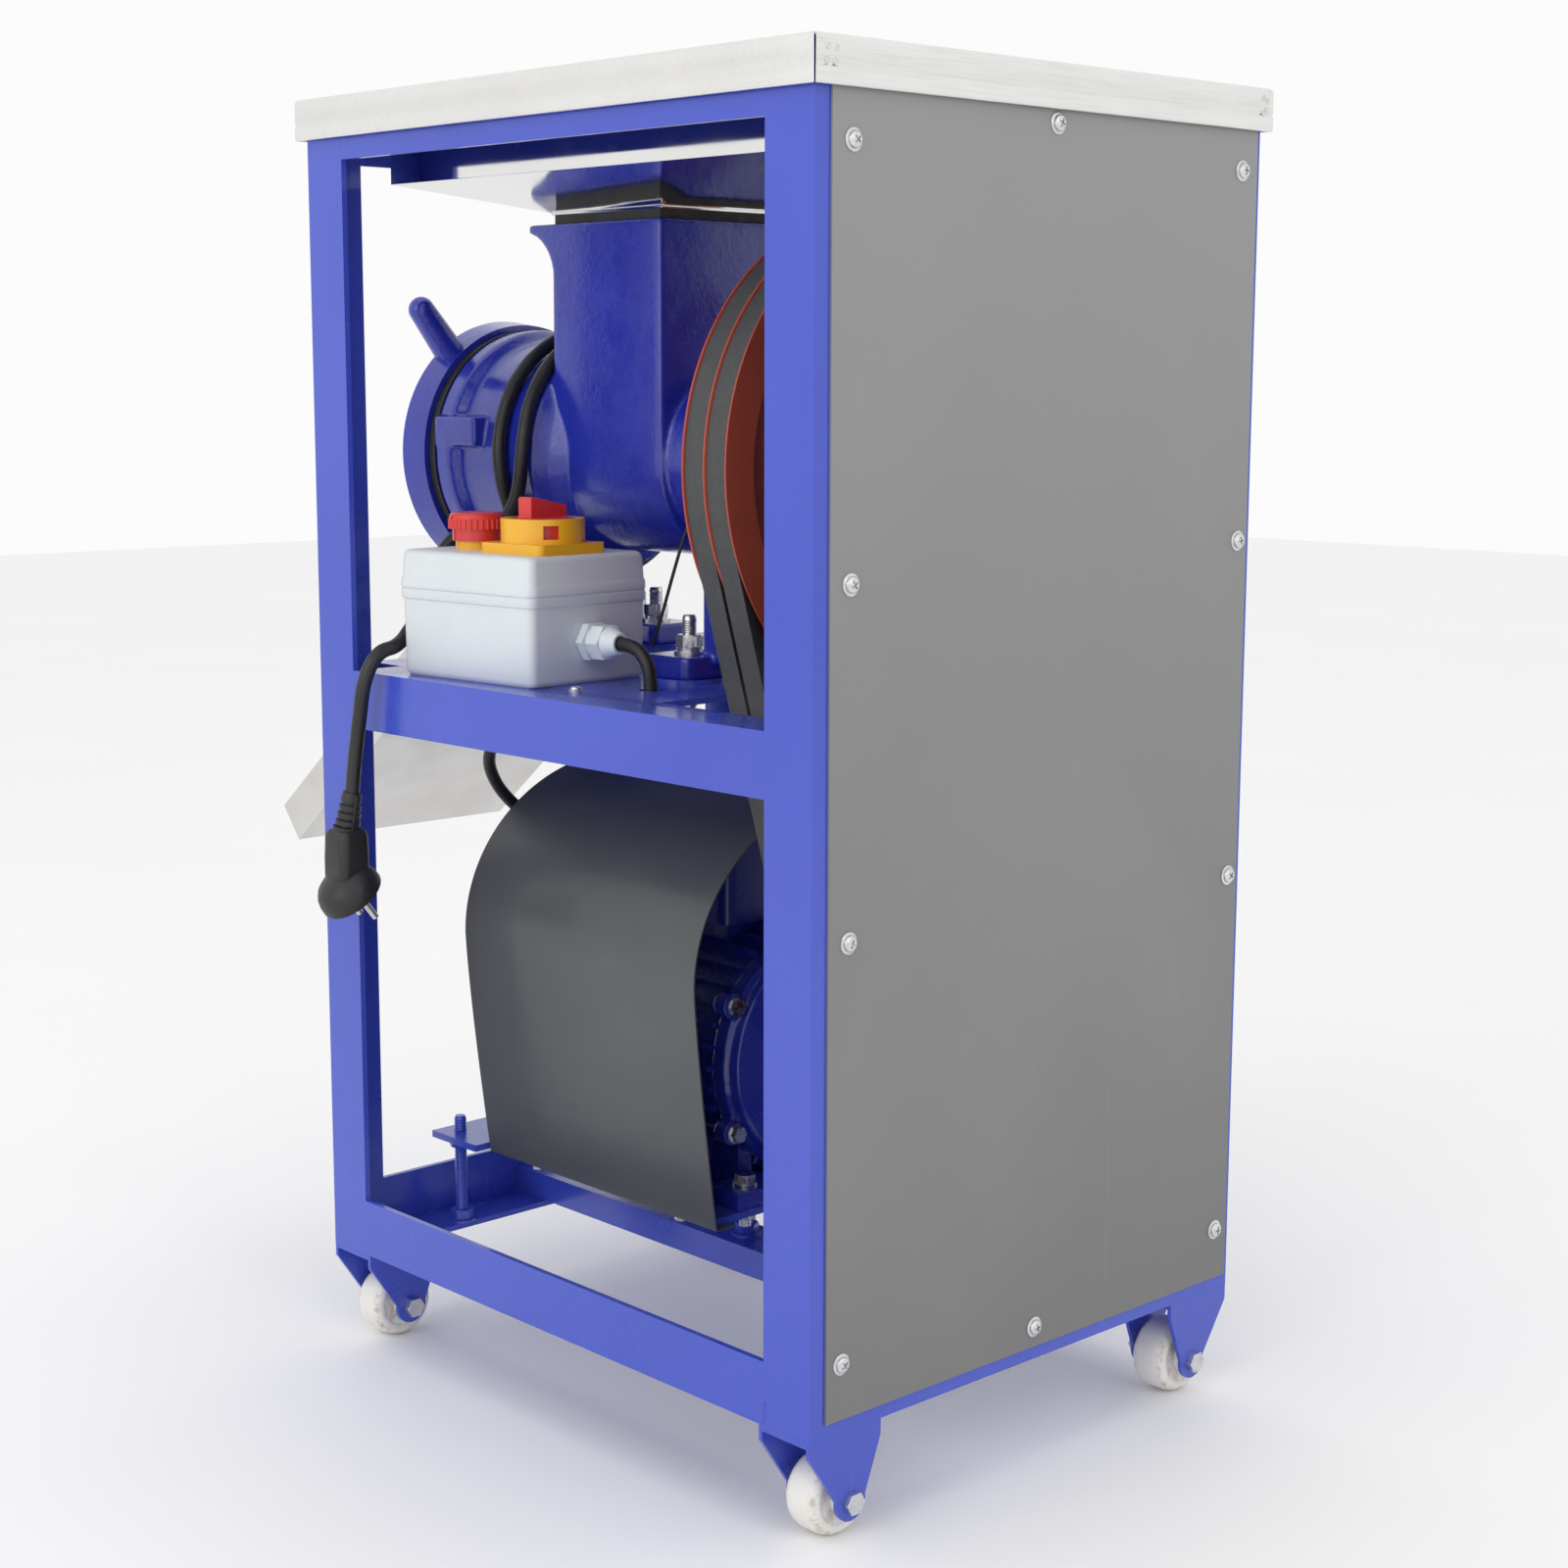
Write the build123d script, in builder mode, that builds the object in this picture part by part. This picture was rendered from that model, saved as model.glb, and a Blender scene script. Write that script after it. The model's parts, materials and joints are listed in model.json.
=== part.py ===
from build123d import *
import math
import os

# Belt-driven meat grinder on a wheeled angle-iron stand.
# Millimetres. +Z up, origin on the floor under the middle of the stand.
# -Y is the outlet side (ring nut and chute), +Y the grey rear panel,
# +X the open side with the switch box.

# ---------------------------------------------------------------- driving dimensions
STAND_W = 400.0          # outer width of the stand, X
STAND_D = 496.0          # outer depth of the stand, Y
STAND_H = 805.0          # stand height from the underside of the frame to the top sheet
LEG = 40.0               # leg of the angle iron
STEEL = 4.0              # thickness of the angle iron
SHEET = 1.5              # stainless sheet
CASTER_H = 71.0          # floor to the underside of the frame

FRAME_Z = CASTER_H
TOP_Z = FRAME_Z + STAND_H
FRAME_TOP = TOP_Z - SHEET
SHELF_Z = FRAME_Z + 420.0     # top face of the middle rails and the shelf plate
AXIS_Z = FRAME_Z + 565.0      # worm axis
MOTOR_Z = FRAME_Z + 163.0     # motor axis
HALF_W = STAND_W / 2
HALF_D = STAND_D / 2
RAIL_X = STAND_W - 2 * LEG    # clear length between posts along X
RAIL_Y = STAND_D - 2 * LEG    # clear length between posts along Y

WHEEL_R = 25.0
WHEEL_W = 27.0
AXLE_X = 165.0
AXLE_Y = 226.5
AXLE_R = 4.0
RUN = 0.05                    # radial running clearance

PAN_X = 152.0                 # half size of the feed tray
PAN_Y = 220.0

NECK_HALF = 62.0              # half width of the feed neck
NECK_FRONT = -158.0
NECK_REAR = -42.0
NECK_TOP = FRAME_Z + 725.0
BELLY_Z = AXIS_Z - 5.0
BARREL_R = 81.5
NOSE_R = 78.0
NOSE_END = -292.0
BORE_R = 57.0
PLATE_R = 65.0
SHAFT_R = 17.5
FOOT_X = 67.0
FOOT_Y = (-8.0, -199.0)
FOOT_TOP = SHELF_Z + 18.0
SPACER = 3.0

NUT_R = 96.0
NUT_FRONT = -299.0
NUT_REAR = -269.0
NUT_OPENING = 58.0

PULLEY_R = 159.0              # large pulley rim
MOTOR_PULLEY_R = 50.0
GROOVES_Y = (100.0, 119.5)
PULLEY_Y0 = 89.5
PULLEY_Y1 = 130.0
GROOVE_HALF = 9.0
GROOVE_DEPTH = 15.0
GROOVE_SLOPE = math.tan(math.radians(18.0))

MOTOR_R = 86.0                # over the fins
MOTOR_SHAFT_R = 12.0
MOTOR_FOOT_X = 70.0
MOTOR_FOOT_Y = (50.0, -75.0)
PLATE_TOP = FRAME_Z + 73.0
PLATE_T = 5.0
PLATE_HALF = 113.0            # half width of the motor plate inside the cover
PLATE_EAR = 127.0             # half width of its wide front end

COVER_Y0 = -172.0
COVER_Y1 = 72.0
COVER_HALF = 135.0            # widest half width of the motor cover
COVER_MID_Z = FRAME_Z + 232.0
COVER_RISE = 116.0
COVER_FOOT = 116.0
COVER_T = 1.2
COVER_FLANGE = 18.0
COVER_LOW = PLATE_TOP - PLATE_T - COVER_T
COVER_SCREWS = [(side * 105.0, y) for side in (1, -1) for y in (-130.0, 25.0)]
SCREW_R = 3.0                 # small hex screws

BOX_YAW = 4.0
BOX_CENTRE = (129.7, -107.0)
BOX_X = 105.0
BOX_Y = 133.0
BOX_H = 85.0
LID_H = 21.0
BOX = Plane(origin=(BOX_CENTRE[0], BOX_CENTRE[1], SHELF_Z),
            x_dir=(math.cos(math.radians(BOX_YAW)), math.sin(math.radians(BOX_YAW)), 0),
            z_dir=(0, 0, 1))
LID_TOP = BOX.offset(BOX_H)
STOP_AT = (15.0, -29.0)
ISOLATOR_AT = (8.0, 29.5)

LEAD_R = 5.0                  # mains lead
MOTOR_LEAD_R = 4.5
COIL_R = 87.0                 # centre line of the turns round the barrel

os.makedirs("parts", exist_ok=True)


# ---------------------------------------------------------------- helpers
def save(piece, name):
    """Labels a finished piece and writes it as its own STEP file."""
    piece.part.label = name
    export_step(piece.part, f"parts/{name}.step")


def axis_plane(z, x=0.0):
    """Plane through an axis along Y: local x is world Y, local y is height above the axis."""
    return Plane(origin=(x, 0, z), x_dir=(0, 1, 0), z_dir=(1, 0, 0))


def y_axis(z, x=0.0):
    return Axis((x, 0, z), (0, 1, 0))


def turned(points, z, x=0.0):
    """A solid turned about a Y axis from a closed outline of (y, radius) points."""
    with BuildPart() as blank:
        with BuildSketch(axis_plane(z, x)):
            with BuildLine():
                Polyline(*points, close=True)
            make_face()
        revolve(axis=y_axis(z, x))
    return blank.part


def ring(y0, y1, outer, inner, z, x=0.0):
    return turned([(y0, inner), (y1, inner), (y1, outer), (y0, outer)], z, x)


def angle_profile(corner_x, corner_y, to_x, to_y):
    """Adds an L section to the current sketch, from its outer corner."""
    with Locations((corner_x + to_x * LEG / 2, corner_y + to_y * STEEL / 2)):
        Rectangle(LEG, STEEL)
    with Locations((corner_x + to_x * STEEL / 2, corner_y + to_y * LEG / 2)):
        Rectangle(STEEL, LEG)


def up(x, y, z):
    """Horizontal plane at a point, normal +Z."""
    return Plane(origin=(x, y, z), x_dir=(1, 0, 0), z_dir=(0, 0, 1))


def facing_y(x, y, z, sign=1):
    """Vertical plane at a point, normal along +Y or -Y."""
    return Plane(origin=(x, y, z), x_dir=(-sign, 0, 0), z_dir=(0, sign, 0))


def hex_bolts(planes, shank_r, shank_len, head_af, head_h, washer_r=0.0, washer_h=1.5):
    """Bolts standing on planes: the shank goes down, washer and hex head up."""
    with BuildPart() as bolts:
        for plane in planes:
            base = 0.0
            if washer_r:
                with BuildSketch(plane):
                    Circle(washer_r)
                extrude(amount=washer_h)
                base = washer_h
            with BuildSketch(plane.offset(base)):
                RegularPolygon(head_af / 2, 6, major_radius=False)
            extrude(amount=head_h)
            with BuildSketch(plane.offset(base)):
                Circle(shank_r)
            extrude(amount=-(shank_len + base))
    return bolts


def tube(points, radius, share=0.45, name=""):
    """A plain round tube along straight runs joined by tangent arcs."""
    pts = [Vector(*p) for p in points]
    radii = []
    for a, b, c in zip(pts, pts[1:], pts[2:]):
        turn = math.radians((b - a).get_angle(c - b))
        run = min((b - a).length, (c - b).length)
        radii.append(share * run / math.tan(turn / 2))
    print(name, "arc radii", [round(r, 1) for r in radii])
    with BuildPart() as hose:
        with BuildLine() as route:
            FilletPolyline(*[tuple(p) for p in pts], radius=radii)
        start = Plane(origin=pts[0], z_dir=pts[1] - pts[0])
        with BuildSketch(start):
            Circle(radius)
        sweep(path=route.wires()[0])
    length = route.wires()[0].length
    expected = math.pi * radius ** 2 * length
    print(name, "length", round(length, 1), "volume ratio", round(hose.part.volume / expected, 4))
    return hose


# ---------------------------------------------------------------- stand
PANEL_SCREWS = [(172, 750), (1, 770), (-180, 752), (-186, 515), (172, 505),
                (-186, 291), (172, 298), (-183, 44), (3, 22.5), (176, 44)]
PANEL_T = 1.5
PANEL_SCREW_R = 2.5


def panel_screw_cutter():
    """Clearance cylinders for the rear panel's screws."""
    with BuildPart() as cutter:
        for x, z in PANEL_SCREWS:
            with BuildSketch(facing_y(x, HALF_D + 5, FRAME_Z + z)):
                Circle(PANEL_SCREW_R)
            extrude(amount=-20)
    return cutter.part


panel_holes = panel_screw_cutter()

with BuildPart() as frame_posts:
    with BuildSketch(Plane.XY.offset(FRAME_Z)):
        for sx in (1, -1):
            for sy in (1, -1):
                angle_profile(sx * HALF_W, sy * HALF_D, -sx, -sy)
    extrude(amount=STAND_H - SHEET)
    add(panel_holes, mode=Mode.SUBTRACT)
save(frame_posts, "frame_posts")


def rail_set(z_corner, to_z, sides_x, sides_y):
    """Angle-iron rails at one level. The corner is the outer edge that has the flange."""
    with BuildPart() as rails:
        with BuildSketch(Plane.XZ.offset(-RAIL_Y / 2)):
            for side in sides_x:
                angle_profile(side * HALF_W, z_corner, -side, to_z)
        extrude(amount=RAIL_Y)
        with BuildSketch(Plane.YZ.offset(-RAIL_X / 2)):
            for side in sides_y:
                angle_profile(side * HALF_D, z_corner, -side, to_z)
        extrude(amount=RAIL_X)
        add(panel_holes, mode=Mode.SUBTRACT)
    return rails


CHUTE_HALF = 99.0
CHUTE_BOLT_X = 70.0
CHUTE_BOLT_Z = SHELF_Z - 19.0

top_rails = rail_set(FRAME_TOP, -1, (1, -1), (1, -1))
with BuildPart() as frame_top_rails:
    add(top_rails.part)
    with BuildSketch(Plane.XY.offset(FRAME_TOP + 1)):
        Rectangle(RAIL_X, 2 * PAN_Y + 1)
    extrude(amount=-10, mode=Mode.SUBTRACT)
save(frame_top_rails, "frame_top_rails")

mid_rails = rail_set(SHELF_Z, -1, (1, -1), (-1,))
with BuildPart() as frame_mid_rails:
    add(mid_rails.part)
    for x in (CHUTE_BOLT_X, -CHUTE_BOLT_X):
        with BuildSketch(facing_y(x, -HALF_D - 1, CHUTE_BOLT_Z, -1)):
            Circle(3.0)
        extrude(amount=-10, mode=Mode.SUBTRACT)
save(frame_mid_rails, "frame_mid_rails")

JACK_STUDS = [(111.0, -215.0), (-111.0, -215.0), (18.0, -5.0)]
JACK_R = 4.5
bottom_rails = rail_set(FRAME_Z, 1, (1, -1), (1, -1))
with BuildPart() as frame_bottom_rails:
    add(bottom_rails.part)
    for x, y in JACK_STUDS[:2]:
        with BuildSketch(up(x, y, FRAME_Z - 1)):
            Circle(JACK_R)
        extrude(amount=STEEL + 2, mode=Mode.SUBTRACT)
save(frame_bottom_rails, "frame_bottom_rails")

MOTOR_RAIL_X = 18.0
MOTOR_RAIL_H = 20.0
RAIL_TOP = FRAME_Z + STEEL + MOTOR_RAIL_H
with BuildPart() as motor_rail:
    with BuildSketch(Plane.XZ.offset(-(HALF_D - STEEL))):
        with Locations((MOTOR_RAIL_X, FRAME_Z + STEEL + MOTOR_RAIL_H / 2)):
            Rectangle(LEG, MOTOR_RAIL_H)
            Rectangle(LEG - 4, MOTOR_RAIL_H - 4, mode=Mode.SUBTRACT)
    extrude(amount=STAND_D - 2 * STEEL)
    with BuildSketch(up(JACK_STUDS[2][0], JACK_STUDS[2][1], RAIL_TOP + 1)):
        Circle(JACK_R)
    extrude(amount=-8, mode=Mode.SUBTRACT)
save(motor_rail, "motor_rail")

SHELF_REAR = 68.0
SHELF_FRONT = -(HALF_D - LEG)
LEAD_HOLE = (121.0, 15.5)
with BuildPart() as shelf_plate:
    with BuildSketch(up(0, (SHELF_REAR + SHELF_FRONT) / 2, SHELF_Z - STEEL)):
        Rectangle(RAIL_X, SHELF_REAR - SHELF_FRONT)
    extrude(amount=STEEL)
    with BuildSketch(Plane.XY.offset(SHELF_Z + 1)):
        for y in FOOT_Y:
            with Locations((FOOT_X, y), (-FOOT_X, y)):
                Circle(6.0)
        with Locations(LEAD_HOLE):
            Circle(8.0)
    extrude(amount=-10, mode=Mode.SUBTRACT)
save(shelf_plate, "shelf_plate")

# ---------------------------------------------------------------- casters
FORK_W = 60.0
FORK_T = 3.0
FORK_X_MID = HALF_W - FORK_W / 2
AXLE_Z = WHEEL_R
FORK_TIP = 12.0

with BuildPart() as caster_forks:
    for sx in (1, -1):
        for sy in (1, -1):
            with BuildSketch(up(sx * FORK_X_MID, sy * (HALF_D - 22.0), FRAME_Z - 4)):
                Rectangle(FORK_W, 44.0)
            extrude(amount=4)
            for inset in (FORK_T, 44.0):
                y_face = sy * (HALF_D - inset)
                with BuildSketch(facing_y(0, y_face, 0, sy)):
                    with BuildLine():
                        x_mid = -sy * sx * AXLE_X
                        x_plate = -sy * sx * FORK_X_MID
                        Polyline((x_plate - FORK_W / 2, FRAME_Z - 3.9), (x_plate + FORK_W / 2, FRAME_Z - 3.9),
                                 (x_plate + FORK_W / 2, FRAME_Z - 10), (x_mid + FORK_TIP, AXLE_Z + 2),
                                 (x_mid - FORK_TIP, AXLE_Z + 2), (x_plate - FORK_W / 2, FRAME_Z - 10),
                                 close=True)
                    make_face()
                    with Locations((x_mid, AXLE_Z)):
                        Circle(FORK_TIP + 0.2)
                    with Locations((x_mid, AXLE_Z)):
                        Circle(AXLE_R, mode=Mode.SUBTRACT)
                extrude(amount=FORK_T)
save(caster_forks, "caster_forks")

with BuildPart() as caster_axles:
    for sx in (1, -1):
        for sy in (1, -1):
            outer = sy * HALF_D
            inner = sy * (HALF_D - 44.0)
            with BuildSketch(facing_y(sx * AXLE_X, inner, AXLE_Z, sy)):
                Circle(AXLE_R)
            extrude(amount=44.0)
            with BuildSketch(facing_y(sx * AXLE_X, outer, AXLE_Z, sy)):
                RegularPolygon(6.5, 6, major_radius=False)
            extrude(amount=5.0)
            with BuildSketch(facing_y(sx * AXLE_X, inner, AXLE_Z, -sy)):
                RegularPolygon(6.5, 6, major_radius=False)
            extrude(amount=6.0)
save(caster_axles, "caster_axles")


def caster_wheel(x, y):
    """A nylon wheel with a bore that runs on its axle bolt and short hub bosses."""
    half = WHEEL_W / 2
    hub = half + 3.0
    bore = AXLE_R + RUN
    shoulder = [(half, 18.5), (half - 0.8, 21.2), (half - 2.8, 23.4), (half - 5.6, 24.6), (half - 8.4, WHEEL_R)]
    near = [(y + across, r) for across, r in shoulder]
    far = [(y - across, r) for across, r in reversed(shoulder)]
    outline = [(y - hub, bore), (y + hub, bore), (y + hub, 9.0), (y + half - 1.5, 9.0), (y + half - 1.5, 16.5)]
    outline += near + far
    outline += [(y - half + 1.5, 16.5), (y - half + 1.5, 9.0), (y - hub, 9.0)]
    return turned(outline, AXLE_Z, x)


for end, sy in (("rear", 1), ("front", -1)):
    for hand, sx in (("right", 1), ("left", -1)):
        blank = caster_wheel(sx * AXLE_X, sy * AXLE_Y)
        with BuildPart() as wheel:
            add(blank)
        save(wheel, f"wheel_{end}_{hand}")

# ---------------------------------------------------------------- stainless top and feed tray
TOP_HALF_X = HALF_W + 6.0
TOP_HALF_Y = HALF_D + 6.0
SKIRT = 27.5
PAN_FLOOR = FRAME_Z + 750.0
THROAT_Z = FRAME_Z + 731.0
THROAT_Y = -101.0
THROAT_HALF_X = 52.0
THROAT_HALF_Y = 50.0
COLLAR_X = 60.0
COLLAR_Y = 59.0

with BuildPart() as top_cover:
    with BuildSketch(Plane.XY.offset(TOP_Z - SKIRT)):
        Rectangle(2 * TOP_HALF_X, 2 * TOP_HALF_Y)
    extrude(amount=SKIRT)
    with BuildSketch(Plane.XY.offset(TOP_Z - SHEET)):
        Rectangle(2 * (TOP_HALF_X - SHEET), 2 * (TOP_HALF_Y - SHEET))
    extrude(amount=-SKIRT, mode=Mode.SUBTRACT)
    with BuildSketch(Plane.XY.offset(TOP_Z + 1)):
        Rectangle(2 * PAN_X, 2 * PAN_Y)
    extrude(amount=-10, mode=Mode.SUBTRACT)
    top_edges = top_cover.faces().sort_by(Axis.Z)[-1].outer_wire().edges()
    fillet(top_edges, radius=1.2)
save(top_cover, "top_cover")

with BuildPart() as feed_tray:
    with BuildSketch(Plane.XY.offset(PAN_FLOOR)):
        Rectangle(2 * PAN_X, 2 * PAN_Y)
    extrude(amount=TOP_Z - PAN_FLOOR)
    with BuildSketch(Plane.XY.offset(PAN_FLOOR)):
        Rectangle(2 * PAN_X, 2 * PAN_Y)
    with BuildSketch(Plane.XY.offset(THROAT_Z + SHEET)):
        with Locations((0, THROAT_Y)):
            Rectangle(2 * COLLAR_X, 2 * COLLAR_Y)
    loft(ruled=True)
    with BuildSketch(Plane.XY.offset(THROAT_Z)):
        with Locations((0, THROAT_Y)):
            Rectangle(2 * COLLAR_X, 2 * COLLAR_Y)
    extrude(amount=SHEET)
    with BuildSketch(Plane.XY.offset(PAN_FLOOR + SHEET)):
        Rectangle(2 * (PAN_X - SHEET), 2 * (PAN_Y - SHEET))
    extrude(amount=80, mode=Mode.SUBTRACT)
    with BuildSketch(Plane.XY.offset(PAN_FLOOR + SHEET)):
        Rectangle(2 * (PAN_X - SHEET), 2 * (PAN_Y - SHEET))
    with BuildSketch(Plane.XY.offset(THROAT_Z + 2 * SHEET)):
        with Locations((0, THROAT_Y)):
            Rectangle(2 * (COLLAR_X - SHEET), 2 * (COLLAR_Y - SHEET))
    loft(ruled=True, mode=Mode.SUBTRACT)
    with BuildSketch(Plane.XY.offset(THROAT_Z + 4)):
        with Locations((0, THROAT_Y)):
            RectangleRounded(2 * THROAT_HALF_X, 2 * THROAT_HALF_Y, 8)
    extrude(amount=-6, mode=Mode.SUBTRACT)
save(feed_tray, "feed_tray")

# ---------------------------------------------------------------- rear panel
PANEL_X0 = -196.0
PANEL_X1 = 188.0
PANEL_Z0 = FRAME_Z + 9.0
PANEL_Z1 = FRAME_Z + 790.0
with BuildPart() as rear_panel:
    with BuildSketch(facing_y((PANEL_X0 + PANEL_X1) / 2, HALF_D, (PANEL_Z0 + PANEL_Z1) / 2)):
        Rectangle(PANEL_X1 - PANEL_X0, PANEL_Z1 - PANEL_Z0)
    extrude(amount=PANEL_T)
    add(panel_holes, mode=Mode.SUBTRACT)
save(rear_panel, "rear_panel")

with BuildPart() as panel_screws:
    for x, z in PANEL_SCREWS:
        with BuildSketch(facing_y(x, HALF_D + PANEL_T, FRAME_Z + z)):
            Circle(6.6)
        extrude(amount=0.8)
        with BuildSketch(facing_y(x, HALF_D + PANEL_T + 0.8, FRAME_Z + z)):
            Circle(4.8)
        extrude(amount=2.4)
        with BuildSketch(facing_y(x, HALF_D + PANEL_T + 3.2, FRAME_Z + z)):
            Rectangle(5.0, 1.1)
            Rectangle(1.1, 5.0)
        extrude(amount=-1.4, mode=Mode.SUBTRACT)
        with BuildSketch(facing_y(x, HALF_D + PANEL_T + 0.1, FRAME_Z + z)):
            Circle(PANEL_SCREW_R)
        extrude(amount=-(PANEL_T + STEEL))
save(panel_screws, "panel_screws")

# ---------------------------------------------------------------- grinder casting
BEARING_R = 36.0
BEARING_Y0 = 44.0
BEARING_Y1 = 61.0
BOSS_END = 66.0
BOSS_R = 47.0
FLANGE_R = 89.0

barrel_blank = turned([(NOSE_END, 0), (BOSS_END, 0), (BOSS_END, BOSS_R), (-8, BOSS_R), (-14, 58),
                       (NECK_REAR - 8, 58), (NECK_FRONT + 20, 60), (NECK_FRONT + 4, 72), (NECK_FRONT - 2, BARREL_R),
                       (-236, BARREL_R), (-246, FLANGE_R), (-262, FLANGE_R), (-262, NOSE_R),
                       (NOSE_END, NOSE_R)], AXIS_Z)
bore_cut = turned([(NOSE_END - 1, 0), (NECK_REAR - 12, 0), (NECK_REAR - 12, BORE_R), (-262, BORE_R),
                   (-262, PLATE_R + 0.3), (NOSE_END - 1, PLATE_R + 0.3)], AXIS_Z)
shaft_cut = turned([(NECK_REAR - 13, 0), (BOSS_END + 1, 0), (BOSS_END + 1, BEARING_R),
                    (BEARING_Y0, BEARING_R), (BEARING_Y0, 22.0), (NECK_REAR - 13, 22.0)], AXIS_Z)


def foot_web(y_mid, span, thick):
    """A cast web that carries the barrel down to a pair of feet."""
    shoulder = FOOT_TOP + 50
    crown = FOOT_TOP + 36
    inner = FOOT_X - 21
    with BuildPart() as web:
        with BuildSketch(Plane.XZ.offset(-(y_mid + thick / 2))):
            with BuildLine():
                Polyline((-inner, FOOT_TOP - 5), (-FOOT_X, FOOT_TOP - 5), (-FOOT_X, shoulder),
                         (-span, AXIS_Z - 34), (span, AXIS_Z - 34), (FOOT_X, shoulder),
                         (FOOT_X, FOOT_TOP - 5), (inner, FOOT_TOP - 5))
                ThreePointArc((inner, FOOT_TOP - 5), (0, crown), (-inner, FOOT_TOP - 5))
            make_face()
        extrude(amount=thick)
    return web.part


rear_web = foot_web(FOOT_Y[0] + 21.5, 31.0, 18.0)
front_web = foot_web(FOOT_Y[1] - 19.0, 62.0, 13.0)

PAD = 46.0                    # side of each cast foot pad
LUG_X = 83.0                  # cast lugs beside the flange
LUG_T = 14.0
LUG_LEN = 48.0
LUG_H = 21.0
CORBEL = 26.0                 # overhang of the neck's front lip
with BuildPart() as grinder_body:
    add(barrel_blank)
    with BuildSketch(Plane.XZ.offset(-NECK_REAR)):
        with BuildLine():
            Polyline((-NECK_HALF, BELLY_Z), (-NECK_HALF, NECK_TOP), (NECK_HALF, NECK_TOP), (NECK_HALF, BELLY_Z))
            ThreePointArc((NECK_HALF, BELLY_Z), (0, BELLY_Z - NECK_HALF), (-NECK_HALF, BELLY_Z))
        make_face()
    extrude(amount=NECK_REAR - NECK_FRONT)
    with BuildSketch(Plane.YZ.offset(-NECK_HALF)):
        with BuildLine():
            Line((NECK_FRONT + 1, NECK_TOP), (NECK_FRONT - CORBEL, NECK_TOP))
            Line((NECK_FRONT - CORBEL, NECK_TOP), (NECK_FRONT - CORBEL, NECK_TOP - 6))
            ThreePointArc((NECK_FRONT - CORBEL, NECK_TOP - 6), (NECK_FRONT - 9, NECK_TOP - 15),
                          (NECK_FRONT, NECK_TOP - 32))
            Line((NECK_FRONT, NECK_TOP - 32), (NECK_FRONT + 1, NECK_TOP - 32))
            Line((NECK_FRONT + 1, NECK_TOP - 32), (NECK_FRONT + 1, NECK_TOP))
        make_face()
    extrude(amount=2 * NECK_HALF)
    add(rear_web)
    add(front_web)
    for y in FOOT_Y:
        for x in (FOOT_X, -FOOT_X):
            with BuildSketch(up(x, y, SHELF_Z + SPACER)):
                RectangleRounded(PAD, PAD, 6)
            extrude(amount=FOOT_TOP - SHELF_Z - SPACER)
    for side in (1, -1):
        with BuildSketch(up(side * LUG_X, -237.0, AXIS_Z + 6)):
            Rectangle(LUG_T, LUG_LEN)
        extrude(amount=LUG_H)
    add(bore_cut, mode=Mode.SUBTRACT)
    add(shaft_cut, mode=Mode.SUBTRACT)
    with BuildSketch(Plane.XY.offset(NECK_TOP + 1)):
        with Locations((0, THROAT_Y)):
            RectangleRounded(2 * THROAT_HALF_X, 2 * THROAT_HALF_Y, 8)
    extrude(amount=-(NECK_TOP + 1 - AXIS_Z), mode=Mode.SUBTRACT)
    with BuildSketch(Plane.XY.offset(FOOT_TOP + 1)):
        for y in FOOT_Y:
            with Locations((FOOT_X, y), (-FOOT_X, y)):
                Circle(6.0)
    extrude(amount=-30, mode=Mode.SUBTRACT)
save(grinder_body, "grinder_body")

with BuildPart() as foot_spacers:
    for y in FOOT_Y:
        for x in (FOOT_X, -FOOT_X):
            with BuildSketch(up(x, y, SHELF_Z)):
                Circle(26.0)
                Circle(6.0, mode=Mode.SUBTRACT)
            extrude(amount=SPACER)
save(foot_spacers, "foot_spacers")

STUD_R = 5.0
STUD_OVER_FOOT = 26.0
STUD_UNDER_SHELF = 14.0
NUT_AF = 16.0
WASHER_T = 2.5
with BuildPart() as foot_bolts:
    for y in FOOT_Y:
        for x in (FOOT_X, -FOOT_X):
            stud_low = SHELF_Z - STEEL - STUD_UNDER_SHELF
            with BuildSketch(up(x, y, stud_low)):
                Circle(STUD_R)
            extrude(amount=FOOT_TOP + STUD_OVER_FOOT - stud_low)
            with BuildSketch(up(x, y, FOOT_TOP)):
                Circle(10.5)
            extrude(amount=WASHER_T)
            with BuildSketch(up(x, y, FOOT_TOP + WASHER_T)):
                RegularPolygon(NUT_AF / 2, 6, major_radius=False)
            extrude(amount=10.5)
            with BuildSketch(up(x, y, SHELF_Z - STEEL)):
                RegularPolygon(NUT_AF / 2, 6, major_radius=False)
            extrude(amount=-10.0)
save(foot_bolts, "foot_bolts")

# ---------------------------------------------------------------- cutting set and ring nut
GASKET_X = 59.0
GASKET_Y = 56.0
seal_blank = ring(NUT_REAR, -262.0, FLANGE_R, NOSE_R, AXIS_Z)
with BuildPart() as rubber_seals:
    add(seal_blank)
    with BuildSketch(Plane.XY.offset(NECK_TOP)):
        with Locations((0, THROAT_Y)):
            Rectangle(2 * GASKET_X, 2 * GASKET_Y)
            Rectangle(2 * THROAT_HALF_X, 2 * THROAT_HALF_Y, mode=Mode.SUBTRACT)
    extrude(amount=THROAT_Z - NECK_TOP)
save(rubber_seals, "rubber_seals")

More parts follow.
